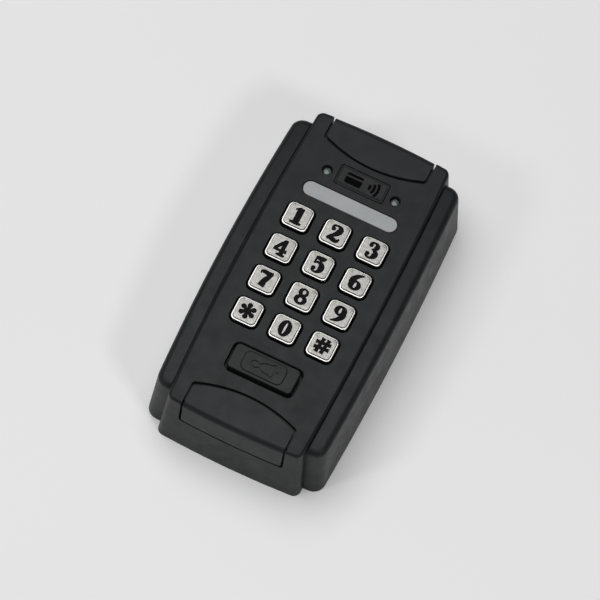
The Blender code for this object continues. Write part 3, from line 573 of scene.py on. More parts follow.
def cap_space(side, is_cap, depth):
    """The space of a cap, or of the seat it lies in, down to a depth under the case's surface."""
    space = new_object("cap_space", prism(cap_plan(side, is_cap), CAP_SPACE_BOTTOM, ABOVE))
    core = crowned_block(COLUMN, column_height, COLUMN_END_HEIGHT, depth, BELOW, COLUMN_FILLET)
    return combine(space, [("INTERSECT", cap_front(side, is_cap)), ("DIFFERENCE", core)])


def make_cap(node, side, material):
    cap = cap_space(side, True, CAP_THICKNESS)
    cap.name = node + "_moulding"
    outer = crowned_block(COLUMN, column_height, COLUMN_END_HEIGHT, 0.0, 2 * BELOW, CAP_FILLET)
    combine(cap, [("INTERSECT", outer)])
    tab = rounded_rectangle(*CAP_TAB, CAP_TAB_CORNER, TAB_CORNER_STEPS)
    y = centre_of("fixing_screw_top")[1]
    tabs = [at(tab, x, side * y) for x in (-CAP_TAB_X, CAP_TAB_X)]
    combine(cap, [("UNION", prisms(tabs, CAP_TAB_BOTTOM, COLUMN_END_HEIGHT - CAP_THICKNESS / 2))])
    soften(cap, CAP_EDGE)
    dress(cap, material)
    shade(cap)
    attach(cap, node)
    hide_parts(node)


def soften(item, width):
    bevel = item.modifiers.new("edges", "BEVEL")
    bevel.width = width
    bevel.segments = EDGE_SEGMENTS
    bevel.limit_method = "ANGLE"
    bevel.angle_limit = math.radians(EDGE_ANGLE)
    flatten(item)


# ---------------------------------------------------------------- case

def lipped(outline_at, low, top, lip=OPENING_LIP):
    """Cutter for an opening whose edge is rounded where it meets a face at height top."""
    rings = [flat_ring(outline_at(0.0), low)]
    for grow, fall in quarter_round(lip, LIP_STEPS):
        rings.append(flat_ring(outline_at(grow), top - fall))
    rings.append(flat_ring(outline_at(lip * LIP_FLARE), top + LIP_CLEARANCE))
    rings.append(flat_ring(outline_at(lip * LIP_FLARE), ABOVE))
    return rings


def grown_rectangle(size, corner, x, y):
    return lambda grow: at(rounded_rectangle(size[0] + 2 * grow, size[1] + 2 * grow, corner + grow), x, y)


def face_cutter(keys):
    bm = bmesh.new()
    low = END_CAVITY_TOP - REACH
    hole = KEY_SIZE + 2 * KEY_CLEARANCE
    for x, y in keys.values():
        add_rings(bm, lipped(grown_rectangle((hole, hole), KEY_CORNER + KEY_CLEARANCE, x, y),
                             low, column_height(y)))
    x, y, _ = centre_of("bell_button")
    size = (BELL_SIZE[0] + 2 * BELL_CLEARANCE, BELL_SIZE[1] + 2 * BELL_CLEARANCE)
    add_rings(bm, lipped(grown_rectangle(size, BELL_CORNER + BELL_CLEARANCE, x, y), low, column_height(y)))
    x, y, _ = centre_of("light_bar")
    size = (BAR_SIZE[0] + 2 * GAP, BAR_SIZE[1] + 2 * GAP)
    bar_opening = grown_rectangle(size, size[1] * BAR_ROUNDING, x, y)
    add_rings(bm, lipped(bar_opening, low, column_height(y), BAR_LIP))
    for node in ("status_lens", "sensor_lens"):
        x, y, _ = centre_of(node)
        add_rings(bm, lipped(lambda grow: at(circle(WINDOW_RADIUS + grow), x, y), low, column_height(y)))
    slot = rounded_rectangle(*CAP_TAB_SLOT, CAP_TAB_SLOT_CORNER, TAB_CORNER_STEPS)
    y = centre_of("fixing_screw_top")[1]
    for x in (-CAP_TAB_X, CAP_TAB_X):
        for side in (-1, 1):
            add_rings(bm, [flat_ring(at(slot, x, side * y), low), flat_ring(at(slot, x, side * y), ABOVE)])
    return bm


def plate_seat():
    low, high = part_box("name_plate")
    x, y, _ = centre_of("name_plate")
    size = (high[0] - low[0] + 2 * GAP, high[1] - low[1] + 2 * GAP)
    outline = at(rounded_rectangle(*size, PLATE_SEAT_CORNER), x, y)
    bottom = [(px, py, column_height(py) - PLATE_THICKNESS - GAP) for px, py in outline]
    return ring_solid([bottom, flat_ring(outline, ABOVE)])


def case_bosses():
    bm = bmesh.new()
    board_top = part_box("circuit_board")[1][2] + GAP
    for number in range(1, 5):
        x, y, _ = centre_of(f"board_screw_{number}")
        outline = at(circle(BOSS_RADIUS, BOSS_STEPS), x, y)
        add_rings(bm, [flat_ring(outline, board_top), flat_ring(outline, ROOF_UNDERSIDE + REACH)])
    for node in ("fixing_screw_top", "fixing_screw_bottom"):
        outline = at(circle(SCREW_TUBE_RADIUS), 0, centre_of(node)[1])
        add_rings(bm, [flat_ring(outline, SCREW_TUBE_BOTTOM), flat_ring(outline, END_CAVITY_TOP + REACH)])
    return bm


def case_bores():
    bm = bmesh.new()
    board_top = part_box("circuit_board")[1][2]
    for number in range(1, 5):
        x, y, _ = centre_of(f"board_screw_{number}")
        outline = at(circle(BOSS_BORE_RADIUS, BORE_STEPS), x, y)
        add_rings(bm, [flat_ring(outline, board_top - REACH), flat_ring(outline, BOSS_BORE_TOP)])
    for node in ("fixing_screw_top", "fixing_screw_bottom"):
        y = centre_of(node)[1]
        hole = at(circle(SCREW_HOLE_RADIUS), 0, y)
        bore = at(circle(COUNTERBORE_RADIUS), 0, y)
        add_rings(bm, [flat_ring(hole, SCREW_TUBE_BOTTOM - REACH), flat_ring(hole, SCREW_SEAT),
                       flat_ring(bore, SCREW_SEAT), flat_ring(bore, ABOVE)])
    return bm


def make_case(keys, material):
    wings = crowned_block(WING, wing_height, WING_END_HEIGHT, 0.0, 0.0, WING_FILLET)
    case = new_object("case_moulding", wings)
    end_plan = dict(COLUMN, length=2 * (END_CAVITY_HALF_LENGTH + WALL + DRAFT * END_CAVITY_TOP))
    keypad_plan = dict(COLUMN, length=2 * (KEYPAD_CAVITY_HALF_LENGTH + WALL + DRAFT * ROOF_UNDERSIDE))
    cavities = ((WING, WING_CAVITY_TOP), (COLUMN, LOW_CAVITY_TOP), (end_plan, END_CAVITY_TOP),
                (keypad_plan, ROOF_UNDERSIDE))
    hollows = [("DIFFERENCE", drafted_block(plan, WALL + stagger, level * BELOW, top))
               for level, ((plan, top), stagger) in enumerate(zip(cavities, CAVITY_STAGGER), 1)]
    combine(case, [
        ("DIFFERENCE", groove_block()),
        ("UNION", crowned_block(COLUMN, column_height, COLUMN_END_HEIGHT, 0.0, 0.0, COLUMN_FILLET)),
        *hollows,
        ("UNION", case_bosses()),
        ("DIFFERENCE", cap_space(1, False, CAP_THICKNESS + GAP)),
        ("DIFFERENCE", cap_space(-1, False, CAP_THICKNESS + GAP)),
        ("DIFFERENCE", face_cutter(keys)),
        ("DIFFERENCE", plate_seat()),
        ("DIFFERENCE", case_bores()),
    ])
    dress(case, material)
    shade(case, angle=32)
    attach(case, "case")
    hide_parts("front_housing")


# ---------------------------------------------------------------- numerals

def spline(points, per_span=7):
    """Catmull-Rom curve through points of any dimension."""
    points = [Vector(p) for p in points]
    ends = [points[0] * 2 - points[1]] + points + [points[-1] * 2 - points[-2]]
    path = []
    for a, b, c, d in zip(ends, ends[1:], ends[2:], ends[3:]):
        for i in range(per_span):
            t = i / per_span
            path.append(0.5 * ((2 * b) + (c - a) * t + (2 * a - 5 * b + 4 * c - d) * t ** 2
                               + (3 * b - a - 3 * c + d) * t ** 3))
    path.append(points[-1])
    return path


def brush(*points):
    """Stroke through (x, y, width) points, as a closed polygon."""
    path = spline([(x, y, w * NUMERAL_WEIGHT) for x, y, w in points])
    left, right = [], []
    for i, p in enumerate(path):
        ahead = path[min(i + 1, len(path) - 1)]
        behind = path[max(i - 1, 0)]
        way = Vector((ahead.x - behind.x, ahead.y - behind.y)).normalized()
        side = Vector((-way.y, way.x)) * p.z / 2
        left.append((p.x + side.x, p.y + side.y))
        right.append((p.x - side.x, p.y - side.y))
    return left + right[::-1]


def oval(x, y, rx, ry, steps=28, lean=0.0):
    turn = 2 * math.pi / steps
    return [(x + rx * math.cos(turn * i) + lean * ry * math.sin(turn * i), y + ry * math.sin(turn * i))
            for i in range(steps)]


def turned_half(shapes):
    return [[(-x, -y) for x, y in shape] for shape in shapes]


def six():
    ink = [oval(0.0, -0.19, 0.36, 0.31),
           brush((-0.25, -0.12, 0.22), (-0.20, 0.12, 0.26), (-0.02, 0.34, 0.19), (0.20, 0.46, 0.10),
                 (0.34, 0.49, 0.03))]
    return ink, [oval(0.02, -0.18, 0.065, 0.17, lean=0.06)]


def star():
    ink = [oval(0, 0, 0.12, 0.12)]
    for i in range(6):
        angle = math.radians(90 + 60 * i)
        x, y = math.cos(angle), math.sin(angle)
        ink.append(brush((0, 0, 0.15), (0.18 * x, 0.18 * y, 0.16), (0.34 * x, 0.34 * y, 0.24)))
        ink.append(oval(0.34 * x, 0.34 * y, 0.15, 0.15, 16))
    return ink, []


def hash_mark():
    ink = []
    for offset in (-0.15, 0.15):
        ink.append(brush((offset - 0.07, -0.45, 0.21), (offset - 0.035, -0.24, 0.16), (offset, 0.0, 0.17),
                         (offset + 0.035, 0.24, 0.16), (offset + 0.07, 0.45, 0.21)))
        ink.append(brush((-0.43, offset - 0.02, 0.20), (-0.22, offset - 0.01, 0.15), (0.0, offset, 0.16),
                         (0.22, offset + 0.01, 0.15), (0.43, offset + 0.02, 0.20)))
    return ink, []


def numeral_shapes():
    """Fat numerals one unit tall around the origin: (inked shapes, holes in them)."""
    shapes = {}
    shapes["key_1"] = ([
        [(-0.17, -0.42), (0.20, -0.42), (0.20, 0.50), (-0.02, 0.50), (-0.17, 0.42)],
        brush((-0.28, 0.33, 0.08), (-0.14, 0.37, 0.12), (0.04, 0.46, 0.16)),
        brush((-0.32, -0.44, 0.10), (-0.10, -0.43, 0.15), (0.02, -0.42, 0.20), (0.14, -0.43, 0.15),
              (0.34, -0.44, 0.10))], [])
    shapes["key_2"] = ([
        oval(-0.19, 0.22, 0.13, 0.125),
        brush((-0.27, 0.27, 0.10), (-0.20, 0.41, 0.12), (0.0, 0.45, 0.11), (0.16, 0.36, 0.22),
              (0.19, 0.20, 0.28), (0.08, 0.0, 0.24), (-0.10, -0.17, 0.16), (-0.27, -0.33, 0.12),
              (-0.30, -0.42, 0.12)),
        brush((-0.34, -0.42, 0.12), (-0.18, -0.34, 0.20), (0.0, -0.37, 0.23), (0.16, -0.41, 0.20),
              (0.28, -0.36, 0.14), (0.33, -0.22, 0.07))], [])
    shapes["key_3"] = ([
        oval(-0.18, 0.27, 0.12, 0.115),
        brush((-0.26, 0.30, 0.08), (-0.18, 0.42, 0.11), (0.0, 0.45, 0.11), (0.14, 0.37, 0.20),
              (0.15, 0.22, 0.23), (0.04, 0.08, 0.13), (-0.08, 0.05, 0.07)),
        brush((-0.06, 0.07, 0.07), (0.08, 0.03, 0.14), (0.20, -0.10, 0.25), (0.18, -0.28, 0.26),
              (0.02, -0.44, 0.12), (-0.18, -0.42, 0.11), (-0.27, -0.30, 0.10)),
        oval(-0.19, -0.25, 0.13, 0.125)], [])
    shapes["key_4"] = ([
        [(0.0, -0.40), (0.24, -0.40), (0.24, 0.50), (0.06, 0.50), (0.0, 0.40)],
        brush((0.12, 0.45, 0.15), (-0.10, 0.14, 0.16), (-0.31, -0.16, 0.16)),
        brush((-0.38, -0.18, 0.13), (0.0, -0.19, 0.13), (0.24, -0.18, 0.15), (0.37, -0.15, 0.20)),
        brush((-0.14, -0.44, 0.09), (0.04, -0.43, 0.14), (0.20, -0.43, 0.14), (0.36, -0.44, 0.09))], [])
    shapes["key_5"] = ([
        brush((-0.24, 0.40, 0.17), (-0.05, 0.37, 0.22), (0.12, 0.39, 0.22), (0.28, 0.48, 0.08)),
        brush((-0.24, 0.46, 0.10), (-0.25, 0.20, 0.09), (-0.26, 0.0, 0.10)),
        brush((-0.26, 0.02, 0.07), (-0.12, 0.12, 0.12), (0.08, 0.10, 0.20), (0.19, -0.06, 0.27),
              (0.18, -0.26, 0.26), (0.03, -0.44, 0.12), (-0.16, -0.43, 0.11), (-0.27, -0.32, 0.10)),
        oval(-0.19, -0.26, 0.13, 0.125)], [])
    shapes["key_6"] = six()
    ink, holes = six()
    shapes["key_9"] = (turned_half(ink), turned_half(holes))
    shapes["key_7"] = ([
        brush((-0.33, 0.24, 0.06), (-0.30, 0.38, 0.13), (-0.14, 0.40, 0.20), (0.08, 0.38, 0.20),
              (0.34, 0.44, 0.14)),
        brush((0.27, 0.40, 0.14), (0.14, 0.16, 0.22), (0.02, -0.10, 0.26), (-0.04, -0.46, 0.30))], [])
    shapes["key_8"] = ([oval(0.0, 0.24, 0.29, 0.26), oval(0.0, -0.20, 0.36, 0.30)],
                       [oval(0.03, 0.26, 0.085, 0.12), oval(0.0, -0.22, 0.10, 0.13)])
    shapes["key_0"] = ([oval(0.0, 0.0, 0.36, 0.50, 40)], [oval(0.0, 0.0, 0.055, 0.34, lean=0.04)])
    shapes["key_star"] = star()
    shapes["key_hash"] = hash_mark()
    return shapes


def placed(shapes, x, y, unit):
    return [[(x + px * unit, y + py * unit) for px, py in shape] for shape in shapes]


def inside(point, polygon):
    hit = False
    x, y = point
    for (x0, y0), (x1, y1) in zip(polygon, polygon[1:] + polygon[:1]):
        if (y0 > y) != (y1 > y) and x < x0 + (y - y0) * (x1 - x0) / (y1 - y0):
            hit = not hit
    return hit


def inlaid_top(bm, edge, z, ink, holes, depth, slots):
    """Fills a flat outline, sinks the inked shapes by a depth and gives both their material slots."""
    outline = [(v.co.x, v.co.y) for v in edge]
    coords = [Vector(p) for p in outline]
    faces = [list(range(len(outline)))]
    for shape in [*ink, *holes]:
        faces.append(list(range(len(coords), len(coords) + len(shape))))
        coords += [Vector(p) for p in shape]
    points, _, triangles, origins, _, _ = delaunay_2d_cdt(coords, [], faces, 0, 1e-8, True)
    inked = []
    for triangle in triangles:
        middle = sum((points[i] for i in triangle), Vector((0, 0))) / len(triangle)
        inked.append(any(inside(middle, s) for s in ink) and not any(inside(middle, s) for s in holes))
    upper, lower = {}, {}
    for index, names in enumerate(origins):
        for name in names:
            if name < len(edge):
                upper[index] = edge[name]

    def vertex(store, index, height):
        if index not in store:
            store[index] = bm.verts.new((points[index].x, points[index].y, height))
        return store[index]

    sides = {}
    for triangle, is_ink in zip(triangles, inked):
        if is_ink:
            corners = [vertex(lower, i, z - depth) for i in triangle]
        else:
            corners = [vertex(upper, i, z) for i in triangle]
        bm.faces.new(corners).material_index = slots[1] if is_ink else slots[0]
        for a, b in zip(triangle, triangle[1:] + triangle[:1]):
            sides.setdefault(frozenset((a, b)), []).append((is_ink, a, b))
    for uses in sides.values():
        if len(uses) == 2 and uses[0][0] != uses[1][0]:
            _, a, b = uses[0] if uses[0][0] else uses[1]
            wall = [vertex(lower, b, z - depth), vertex(lower, a, z - depth),
                    vertex(upper, a, z), vertex(upper, b, z)]
            bm.faces.new(wall).material_index = slots[1]


# ---------------------------------------------------------------- keys and button

NUMERAL_HEIGHT = 7.1 * MM
NUMERAL_WEIGHT = 1.26
NUMERAL_DEPTH = 0.25 * MM
# Each level of a key's outside: how far it is in from the key's side, and how far it is below the top.
# The lowest bands between them are dark with the numerals' black ink, painted shade in the gap round the
# key; the next ones are polished and the rest are satin.
KEY_LEVELS = ((0.0, 1.90 * MM), (0.03 * MM, 1.04 * MM), (0.06 * MM, 0.80 * MM), (0.10 * MM, 0.67 * MM),
              (0.16 * MM, 0.59 * MM), (0.24 * MM, 0.55 * MM), (0.56 * MM, 0.55 * MM), (0.58 * MM, 0.52 * MM),
              (0.72 * MM, 0.08 * MM), (0.77 * MM, 0.02 * MM), (0.85 * MM, 0.0))
KEY_SHADED_BANDS = 3
KEY_POLISHED_BANDS = 6


def make_key(node, shapes, materials):
    low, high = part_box(node)
    x, y, _ = centre_of(node)
    top = high[2]
    flange = rounded_rectangle(high[0] - low[0], high[1] - low[1], KEY_CORNER)
    body = rounded_rectangle(KEY_SIZE, KEY_SIZE, KEY_CORNER)
    rings = [flat_ring(at(flange, x, y), FLANGE_BOTTOM), flat_ring(at(flange, x, y), FLANGE_TOP),
             flat_ring(at(body, x, y), FLANGE_TOP)]
    for inset, drop in KEY_LEVELS:
        size = KEY_SIZE - 2 * inset
        outline = rounded_rectangle(size, size, KEY_TOP_CORNER - KEY_CORNER_SHRINK * inset)
        rings.append(flat_ring(at(outline, x, y), top - drop))
    bm = bmesh.new()
    satin_bands = len(rings) - 1 - KEY_SHADED_BANDS - KEY_POLISHED_BANDS
    # The lowest bands take the black ink: painted shade in the gap round the key.
    slots = [2] * KEY_SHADED_BANDS + [1] * KEY_POLISHED_BANDS + [0] * satin_bands
    rows = add_rings(bm, rings, closed_top=False, slots=slots)
    ink, holes = shapes
    ink, holes = placed(ink, x, y, NUMERAL_HEIGHT), placed(holes, x, y, NUMERAL_HEIGHT)
    inlaid_top(bm, rows[-1], top, ink, holes, NUMERAL_DEPTH, (0, 2))
    key = new_object(node + "_cap", bm)
    dress(key, materials["key_top"], materials["key_side"], materials["key_ink_and_shade"])
    shade(key, angle=38)
    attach(key, node)
    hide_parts(node)


BELL_LABEL = (16.9 * MM, 7.9 * MM)
BELL_LABEL_CORNER = 2.2 * MM
# Each step in from the label's outline, and the height above the button's top: a moat round a raised label.
BELL_LABEL_LEVELS = ((-0.42 * MM, 0.0), (-0.36 * MM, -0.26 * MM), (-0.12 * MM, -0.26 * MM),
                     (0.02 * MM, 0.12 * MM), (0.10 * MM, 0.21 * MM), (0.22 * MM, 0.25 * MM))
BELL_LABEL_RISE = 0.25 * MM
BELL_ICON_DEPTH = 0.5 * MM


def make_bell_button(material):
    low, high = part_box("bell_button")
    x, y, _ = centre_of("bell_button")
    top = high[2] - BELL_LABEL_RISE
    width, length = BELL_SIZE
    flange = rounded_rectangle(high[0] - low[0], high[1] - low[1], BELL_CORNER)
    rings = [flat_ring(at(flange, x, y), FLANGE_BOTTOM), flat_ring(at(flange, x, y), FLANGE_TOP)]
    rings.append(flat_ring(at(rounded_rectangle(width, length, BELL_CORNER), x, y), FLANGE_TOP))
    for inset, fall in quarter_round(BELL_EDGE, BELL_EDGE_STEPS):
        outline = rounded_rectangle(width - 2 * inset, length - 2 * inset,
                                    BELL_CORNER - BELL_CORNER_SHRINK * inset)
        rings.append(flat_ring(at(outline, x, y), top - fall))
    for inset, rise in BELL_LABEL_LEVELS:
        outline = rounded_rectangle(BELL_LABEL[0] - 2 * inset, BELL_LABEL[1] - 2 * inset,
                                    BELL_LABEL_CORNER - inset)
        rings.append(flat_ring(at(outline, x, y), top + rise))
    bm = bmesh.new()
    rows = add_rings(bm, rings, closed_top=False)
    inlaid_top(bm, rows[-1], high[2], placed(bell_icon(), x, y, MM), [], BELL_ICON_DEPTH, (0, 0))
    button = new_object("bell_button_cap", bm)
    dress(button, material)
    shade(button, angle=38)
    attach(button, "bell_button")
    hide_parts("bell_button")


def bell_icon():
    """A hand bell lying on its side, in lines, in millimetres: looped handle, flared body, clapper."""
    line = 0.62
    turns = [math.radians(a) for a in range(35, 326, 29)]
    handle = brush(*[(-3.6 + 1.5 * math.cos(a), -0.2 + 1.35 * math.sin(a), line) for a in turns])
    upper = brush((-2.5, 0.55, line), (-1.5, 0.75, line), (-0.6, 1.45, line), (0.8, 1.85, line),
                  (2.6, 2.1, line), (3.9, 2.9, line))
    lower = brush((-2.5, -0.95, line), (-1.5, -1.1, line), (-0.6, -1.7, line), (0.8, -2.0, line),
                  (2.6, -2.2, line), (3.9, -2.9, line))
    rim = brush((3.9, 2.9, line), (4.25, 1.4, line), (4.35, 0.0, line), (4.25, -1.4, line),
                (3.9, -2.9, line))
    return [handle, upper, lower, rim, oval(5.3, 0, 0.65, 0.65, 16)]


# ---------------------------------------------------------------- light bar, windows, plate

def make_light_bar(material):
    low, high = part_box("light_bar")
    x, y, _ = centre_of("light_bar")
    width, length = BAR_SIZE
    flange = rounded_rectangle(high[0] - low[0], high[1] - low[1], (high[1] - low[1]) * BAR_ROUNDING)
    body = rounded_rectangle(width, length, length * BAR_ROUNDING)
    rings = [flat_ring(at(body, x, y), low[2]), flat_ring(at(body, x, y), FLANGE_BOTTOM),
             flat_ring(at(flange, x, y), FLANGE_BOTTOM), flat_ring(at(flange, x, y), FLANGE_TOP),
             flat_ring(at(body, x, y), FLANGE_TOP)]
    for inset, fall in quarter_round(BAR_EDGE, BAR_EDGE_STEPS):
        outline = rounded_rectangle(width - 2 * inset, length - 2 * inset, length * BAR_ROUNDING - inset)
        rings.append(flat_ring(at(outline, x, y), high[2] - fall))
    bar = new_object("light_bar_guide", ring_solid(rings))
    dress(bar, material)
    shade(bar)
    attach(bar, "case")
    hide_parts("light_bar")


def make_lens(node, material):
    low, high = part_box(node)
    x, y, _ = centre_of(node)
    top = high[2]
    flange = (high[0] - low[0]) / 2
    profile = [(LENS_RADIUS, low[2]), (LENS_RADIUS, FLANGE_BOTTOM), (flange, FLANGE_BOTTOM),
               (flange, FLANGE_TOP), (LENS_RADIUS, FLANGE_TOP), (LENS_RADIUS, top - LENS_DOME)]
    for i in range(1, LENS_DOME_STEPS):
        angle = math.pi / 2 * i / LENS_DOME_STEPS
        profile.append((LENS_RADIUS * math.cos(angle), top - LENS_DOME * (1 - math.sin(angle))))
    rings = [flat_ring(at(circle(r), x, y), z) for r, z in profile]
    lens = new_object(node + "_moulding", ring_solid(rings))
    dress(lens, material)
    shade(lens)
    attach(lens, "case")
    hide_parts(node)


PLATE_CORNER = 0.9 * MM
PLATE_CORNER_SHRINK = 0.8
PLATE_STAND = 0.9
SIGN_DEPTH = 0.15 * MM
# Each level of the plate: how far it is in from the side, and its height over the plate's border.
PLATE_LEVELS = ((0.0, -PLATE_THICKNESS), (0.0, -0.15 * MM), (0.05 * MM, -0.03 * MM), (0.15 * MM, 0.0),
                (0.40 * MM, 0.0), (0.50 * MM, -0.06 * MM), (0.58 * MM, -0.26 * MM), (0.80 * MM, -0.26 * MM),
                (0.88 * MM, -0.10 * MM), (0.95 * MM, -0.08 * MM))


def make_plate(materials):
    """Badge plate with a raised border and a generic sign: a card held to three waves."""
    low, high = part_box("name_plate")
    x, y, _ = centre_of("name_plate")
    width, length = high[0] - low[0], high[1] - low[1]
    stand = PLATE_STAND * (high[2] - column_height(low[1]))
    rings = []
    for inset, level in PLATE_LEVELS:
        outline = at(rounded_rectangle(width - 2 * inset, length - 2 * inset,
                                       PLATE_CORNER - PLATE_CORNER_SHRINK * inset), x, y)
        rings.append([(px, py, column_height(py) + stand + level) for px, py in outline])
    bm = bmesh.new()
    edge = add_rings(bm, rings, closed_top=False)[-1]
    top = column_height(y) + stand + PLATE_LEVELS[-1][1]
    for v in edge:
        v.co.z = top
    ink, holes = card_sign()
    inlaid_top(bm, edge, top, placed(ink, x, y, MM), placed(holes, x, y, MM), SIGN_DEPTH, (0, 1))
    plate = new_object("name_plate_badge", bm)
    dress(plate, materials["plate"], materials["ink"])
    shade(plate)
    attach(plate, "case")
    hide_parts("name_plate")


def card_sign():
    """A card with a stripe, and three waves, in millimetres: (inked shapes, holes in them)."""
    card = at(rounded_rectangle(6.8, 4.6, 0.7, 4), -3.4, 0.0)
    stripe = at(rounded_rectangle(6.8, 0.7, 0.05, 2), -3.4, 0.85)
    waves = []
    for radius in (2.2, 3.9, 5.6):
        turns = [math.radians(a) for a in range(-30, 31, 10)]
        waves.append(brush(*[(1.0 + radius * math.cos(a), radius * math.sin(a), 0.85) for a in turns]))
    return [card, *waves], [stripe]


# ---------------------------------------------------------------- keypad mat

MAT_THICKNESS = 1.2 * MM
MAT_EDGE = 0.25 * MM
MAT_BEVEL = 0.075 * MM
MAT_CORNER = 2.0 * MM
# Radius and height above the sheet at each level of a dome's skirt, then radius and depth under its top.
DOME_SKIRT = ((4.8 * MM, 0.0), (4.55 * MM, 0.35 * MM), (3.65 * MM, 1.0 * MM), (3.2 * MM, 1.4 * MM))
DOME_HEAD = ((3.2 * MM, 0.3 * MM), (3.1 * MM, 0.08 * MM), (2.85 * MM, 0.0))
DOME_STEPS = 40
BELL_DOME_X = 8.0 * MM


def make_mat_sheet(material):
    low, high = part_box("keypad_mat")
    x, y, _ = centre_of("keypad_mat")
    width, length = high[0] - low[0], high[1] - low[1]
    top = low[2] + MAT_THICKNESS
    rings = []
    for inset, z in ((0, low[2]), (0, top - MAT_EDGE), (MAT_BEVEL, top - MAT_BEVEL), (MAT_EDGE, top)):
        outline = rounded_rectangle(width - 2 * inset, length - 2 * inset, MAT_CORNER - inset)
        rings.append(flat_ring(at(outline, x, y), z))
    sheet = new_object("keypad_mat_sheet", ring_solid(rings))
    dress(sheet, material)
    shade(sheet)
    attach(sheet, "case")
    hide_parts("keypad_mat")


def make_dome(name, x, y, material):
    """Rubber dome that stands under the key above it."""
    low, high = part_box("keypad_mat")
    base = low[2] + MAT_THICKNESS
    profile = [(radius, base + rise) for radius, rise in DOME_SKIRT]
    profile += [(radius, high[2] - fall) for radius, fall in DOME_HEAD]
    rings = [flat_ring(at(circle(radius, DOME_STEPS), x, y), z) for radius, z in profile]
    dome = new_object(name, ring_solid(rings))
    dress(dome, material)
    shade(dome, angle=50)
    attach(dome, "case")
    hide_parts("keypad_mat")
    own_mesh(dome)


def make_mat(keys):
    material = carried_material("silicone_mat", (0.40, 0.41, 0.42), (0.50, 0.51, 0.52), 0.6, 0.0, 0.004)
    make_mat_sheet(material)
    for node, (x, y) in keys.items():
        make_dome(node + "_dome", x, y, material)
    x, y, _ = centre_of("bell_button")
    for side, offset in (("left", -BELL_DOME_X), ("right", BELL_DOME_X)):
        make_dome("bell_dome_" + side, x + offset, y, material)


# ---------------------------------------------------------------- floor, light, camera

VIEW_AZIMUTH = math.radians(16.777)
VIEW_ELEVATION = math.radians(66.321)
VIEW_ROLL = math.radians(9.662)
VIEW_DISTANCE = 2.1636
VIEW_SHIFT = (-1.684 * MM, 6.363 * MM)
LENS_LENGTH = 341.8
SENSOR_WIDTH = 36
CLIP_END = 20


def make_camera():
    a, e, roll = VIEW_AZIMUTH, VIEW_ELEVATION, VIEW_ROLL
    back = Vector((math.sin(a) * math.cos(e), -math.cos(a) * math.cos(e), math.sin(e)))
    right = Vector((math.cos(a), math.sin(a), 0))
    up = back.cross(right)
    camera_right = right * math.cos(roll) + up * math.sin(roll)
    camera_up = up * math.cos(roll) - right * math.sin(roll)
    data = bpy.data.cameras.new("camera")
    data.lens = LENS_LENGTH
    data.sensor_width = SENSOR_WIDTH
    data.clip_end = CLIP_END
    camera = bpy.data.objects.new("camera", data)
    bpy.context.scene.collection.objects.link(camera)
    place = back * VIEW_DISTANCE + camera_right * VIEW_SHIFT[0] + camera_up * VIEW_SHIFT[1]
    turn = Matrix((camera_right, camera_up, back)).transposed().to_4x4()
    camera.matrix_world = Matrix.Translation(place) @ turn
    bpy.context.scene.camera = camera


# Each square light: where it hangs, aimed at the middle of the case's back, its side and its power.
LIGHTS = {
    "top_light": ((-0.45, 0.22, 2.2), 1.9, 32),
    "right_light": ((1.08, -0.63, 1.26), 0.3, 4.4),
    "left_light": ((-0.90, -1.00, 1.20), 0.3, 3),
}
# Each lobe of the surround: its direction, the cosines of the angles from that direction between which it
# rises, and its brightness outside and inside them. Pale above and behind, dim in front and low down.
SURROUND = (((-0.1, 0, 1), (0.3, 1.0), (0.04, 0.40)),
            ((-0.8, 0.4, 0.45), (0.3, 0.95), (0.0, 1.5)),
            ((0.15, 0.9, 0.45), (0.3, 0.95), (0.0, 0.42)))
FLOOR_HALF_WIDTH = 6.0
FLOOR_DROP = 0.2 * MM


def make_light(name, place, side, power):
    data = bpy.data.lights.new(name, "AREA")
    data.shape = "RECTANGLE"
    data.size = data.size_y = side
    data.energy = power
    light = bpy.data.objects.new(name, data)
    bpy.context.scene.collection.objects.link(light)
    light.location = place
    light.rotation_euler = (-Vector(place)).to_track_quat("-Z", "Y").to_euler()


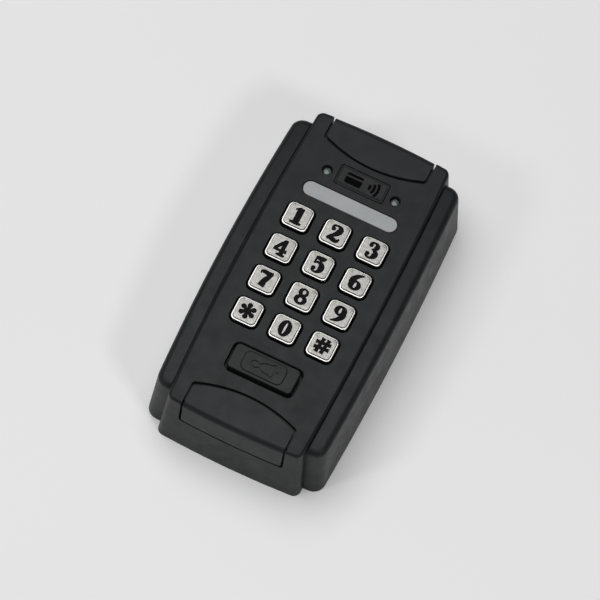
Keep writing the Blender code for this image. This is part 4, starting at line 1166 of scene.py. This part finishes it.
def make_world():
    world = bpy.data.worlds.new("studio")
    world.use_nodes = True
    tree = world.node_tree
    direction = tree.nodes.new("ShaderNodeTexCoord").outputs["Generated"]

    def lobe(aim, rise, brightness):
        dot = tree.nodes.new("ShaderNodeVectorMath")
        dot.operation = "DOT_PRODUCT"
        dot.inputs[1].default_value = Vector(aim).normalized()
        tree.links.new(direction, dot.inputs[0])
        ramp = tree.nodes.new("ShaderNodeMapRange")
        ramp.interpolation_type = "SMOOTHSTEP"
        for socket, value in zip(("From Min", "From Max", "To Min", "To Max"), (*rise, *brightness)):
            ramp.inputs[socket].default_value = value
        tree.links.new(dot.outputs["Value"], ramp.inputs["Value"])
        return ramp.outputs["Result"]

    total, *parts = [lobe(*values) for values in SURROUND]
    for part in parts:
        add = tree.nodes.new("ShaderNodeMath")
        tree.links.new(total, add.inputs[0])
        tree.links.new(part, add.inputs[1])
        total = add.outputs["Value"]
    tree.links.new(total, tree.nodes["Background"].inputs["Strength"])
    bpy.context.scene.world = world


def make_floor():
    n = Nodes("studio_floor")
    n.colours(n.remap(n.noise(0.4, 2), 0, 1), (0.90, 0.90, 0.90), (0.93, 0.93, 0.93))
    n.set(roughness=0.9, emission_color=(1, 1, 1, 1), emission_strength=0.12)
    bm = bmesh.new()
    bmesh.ops.create_grid(bm, x_segments=8, y_segments=8, size=FLOOR_HALF_WIDTH)
    floor = new_object("studio_floor", bm)
    floor.location.z = -FLOOR_DROP
    dress(floor, n.material)


def make_studio():
    make_floor()
    make_world()
    for name, values in LIGHTS.items():
        make_light(name, *values)
    bpy.context.scene.view_settings.view_transform = "Standard"


def main():
    materials = make_materials()
    keys = {node: centre_of(node)[:2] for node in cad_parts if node.startswith("key_")}
    make_case(keys, materials["case"])
    make_cap("top_cap", 1, materials["trim"])
    make_cap("bottom_cap", -1, materials["trim"])
    shapes = numeral_shapes()
    for node in keys:
        make_key(node, shapes[node], materials)
    make_bell_button(materials["button"])
    make_light_bar(materials["light_guide"])
    make_lens("status_lens", materials["lens"])
    make_lens("sensor_lens", materials["lens"])
    make_plate(materials)
    make_mat(keys)
    dress_carried_nodes()
    make_studio()
    make_camera()


main()
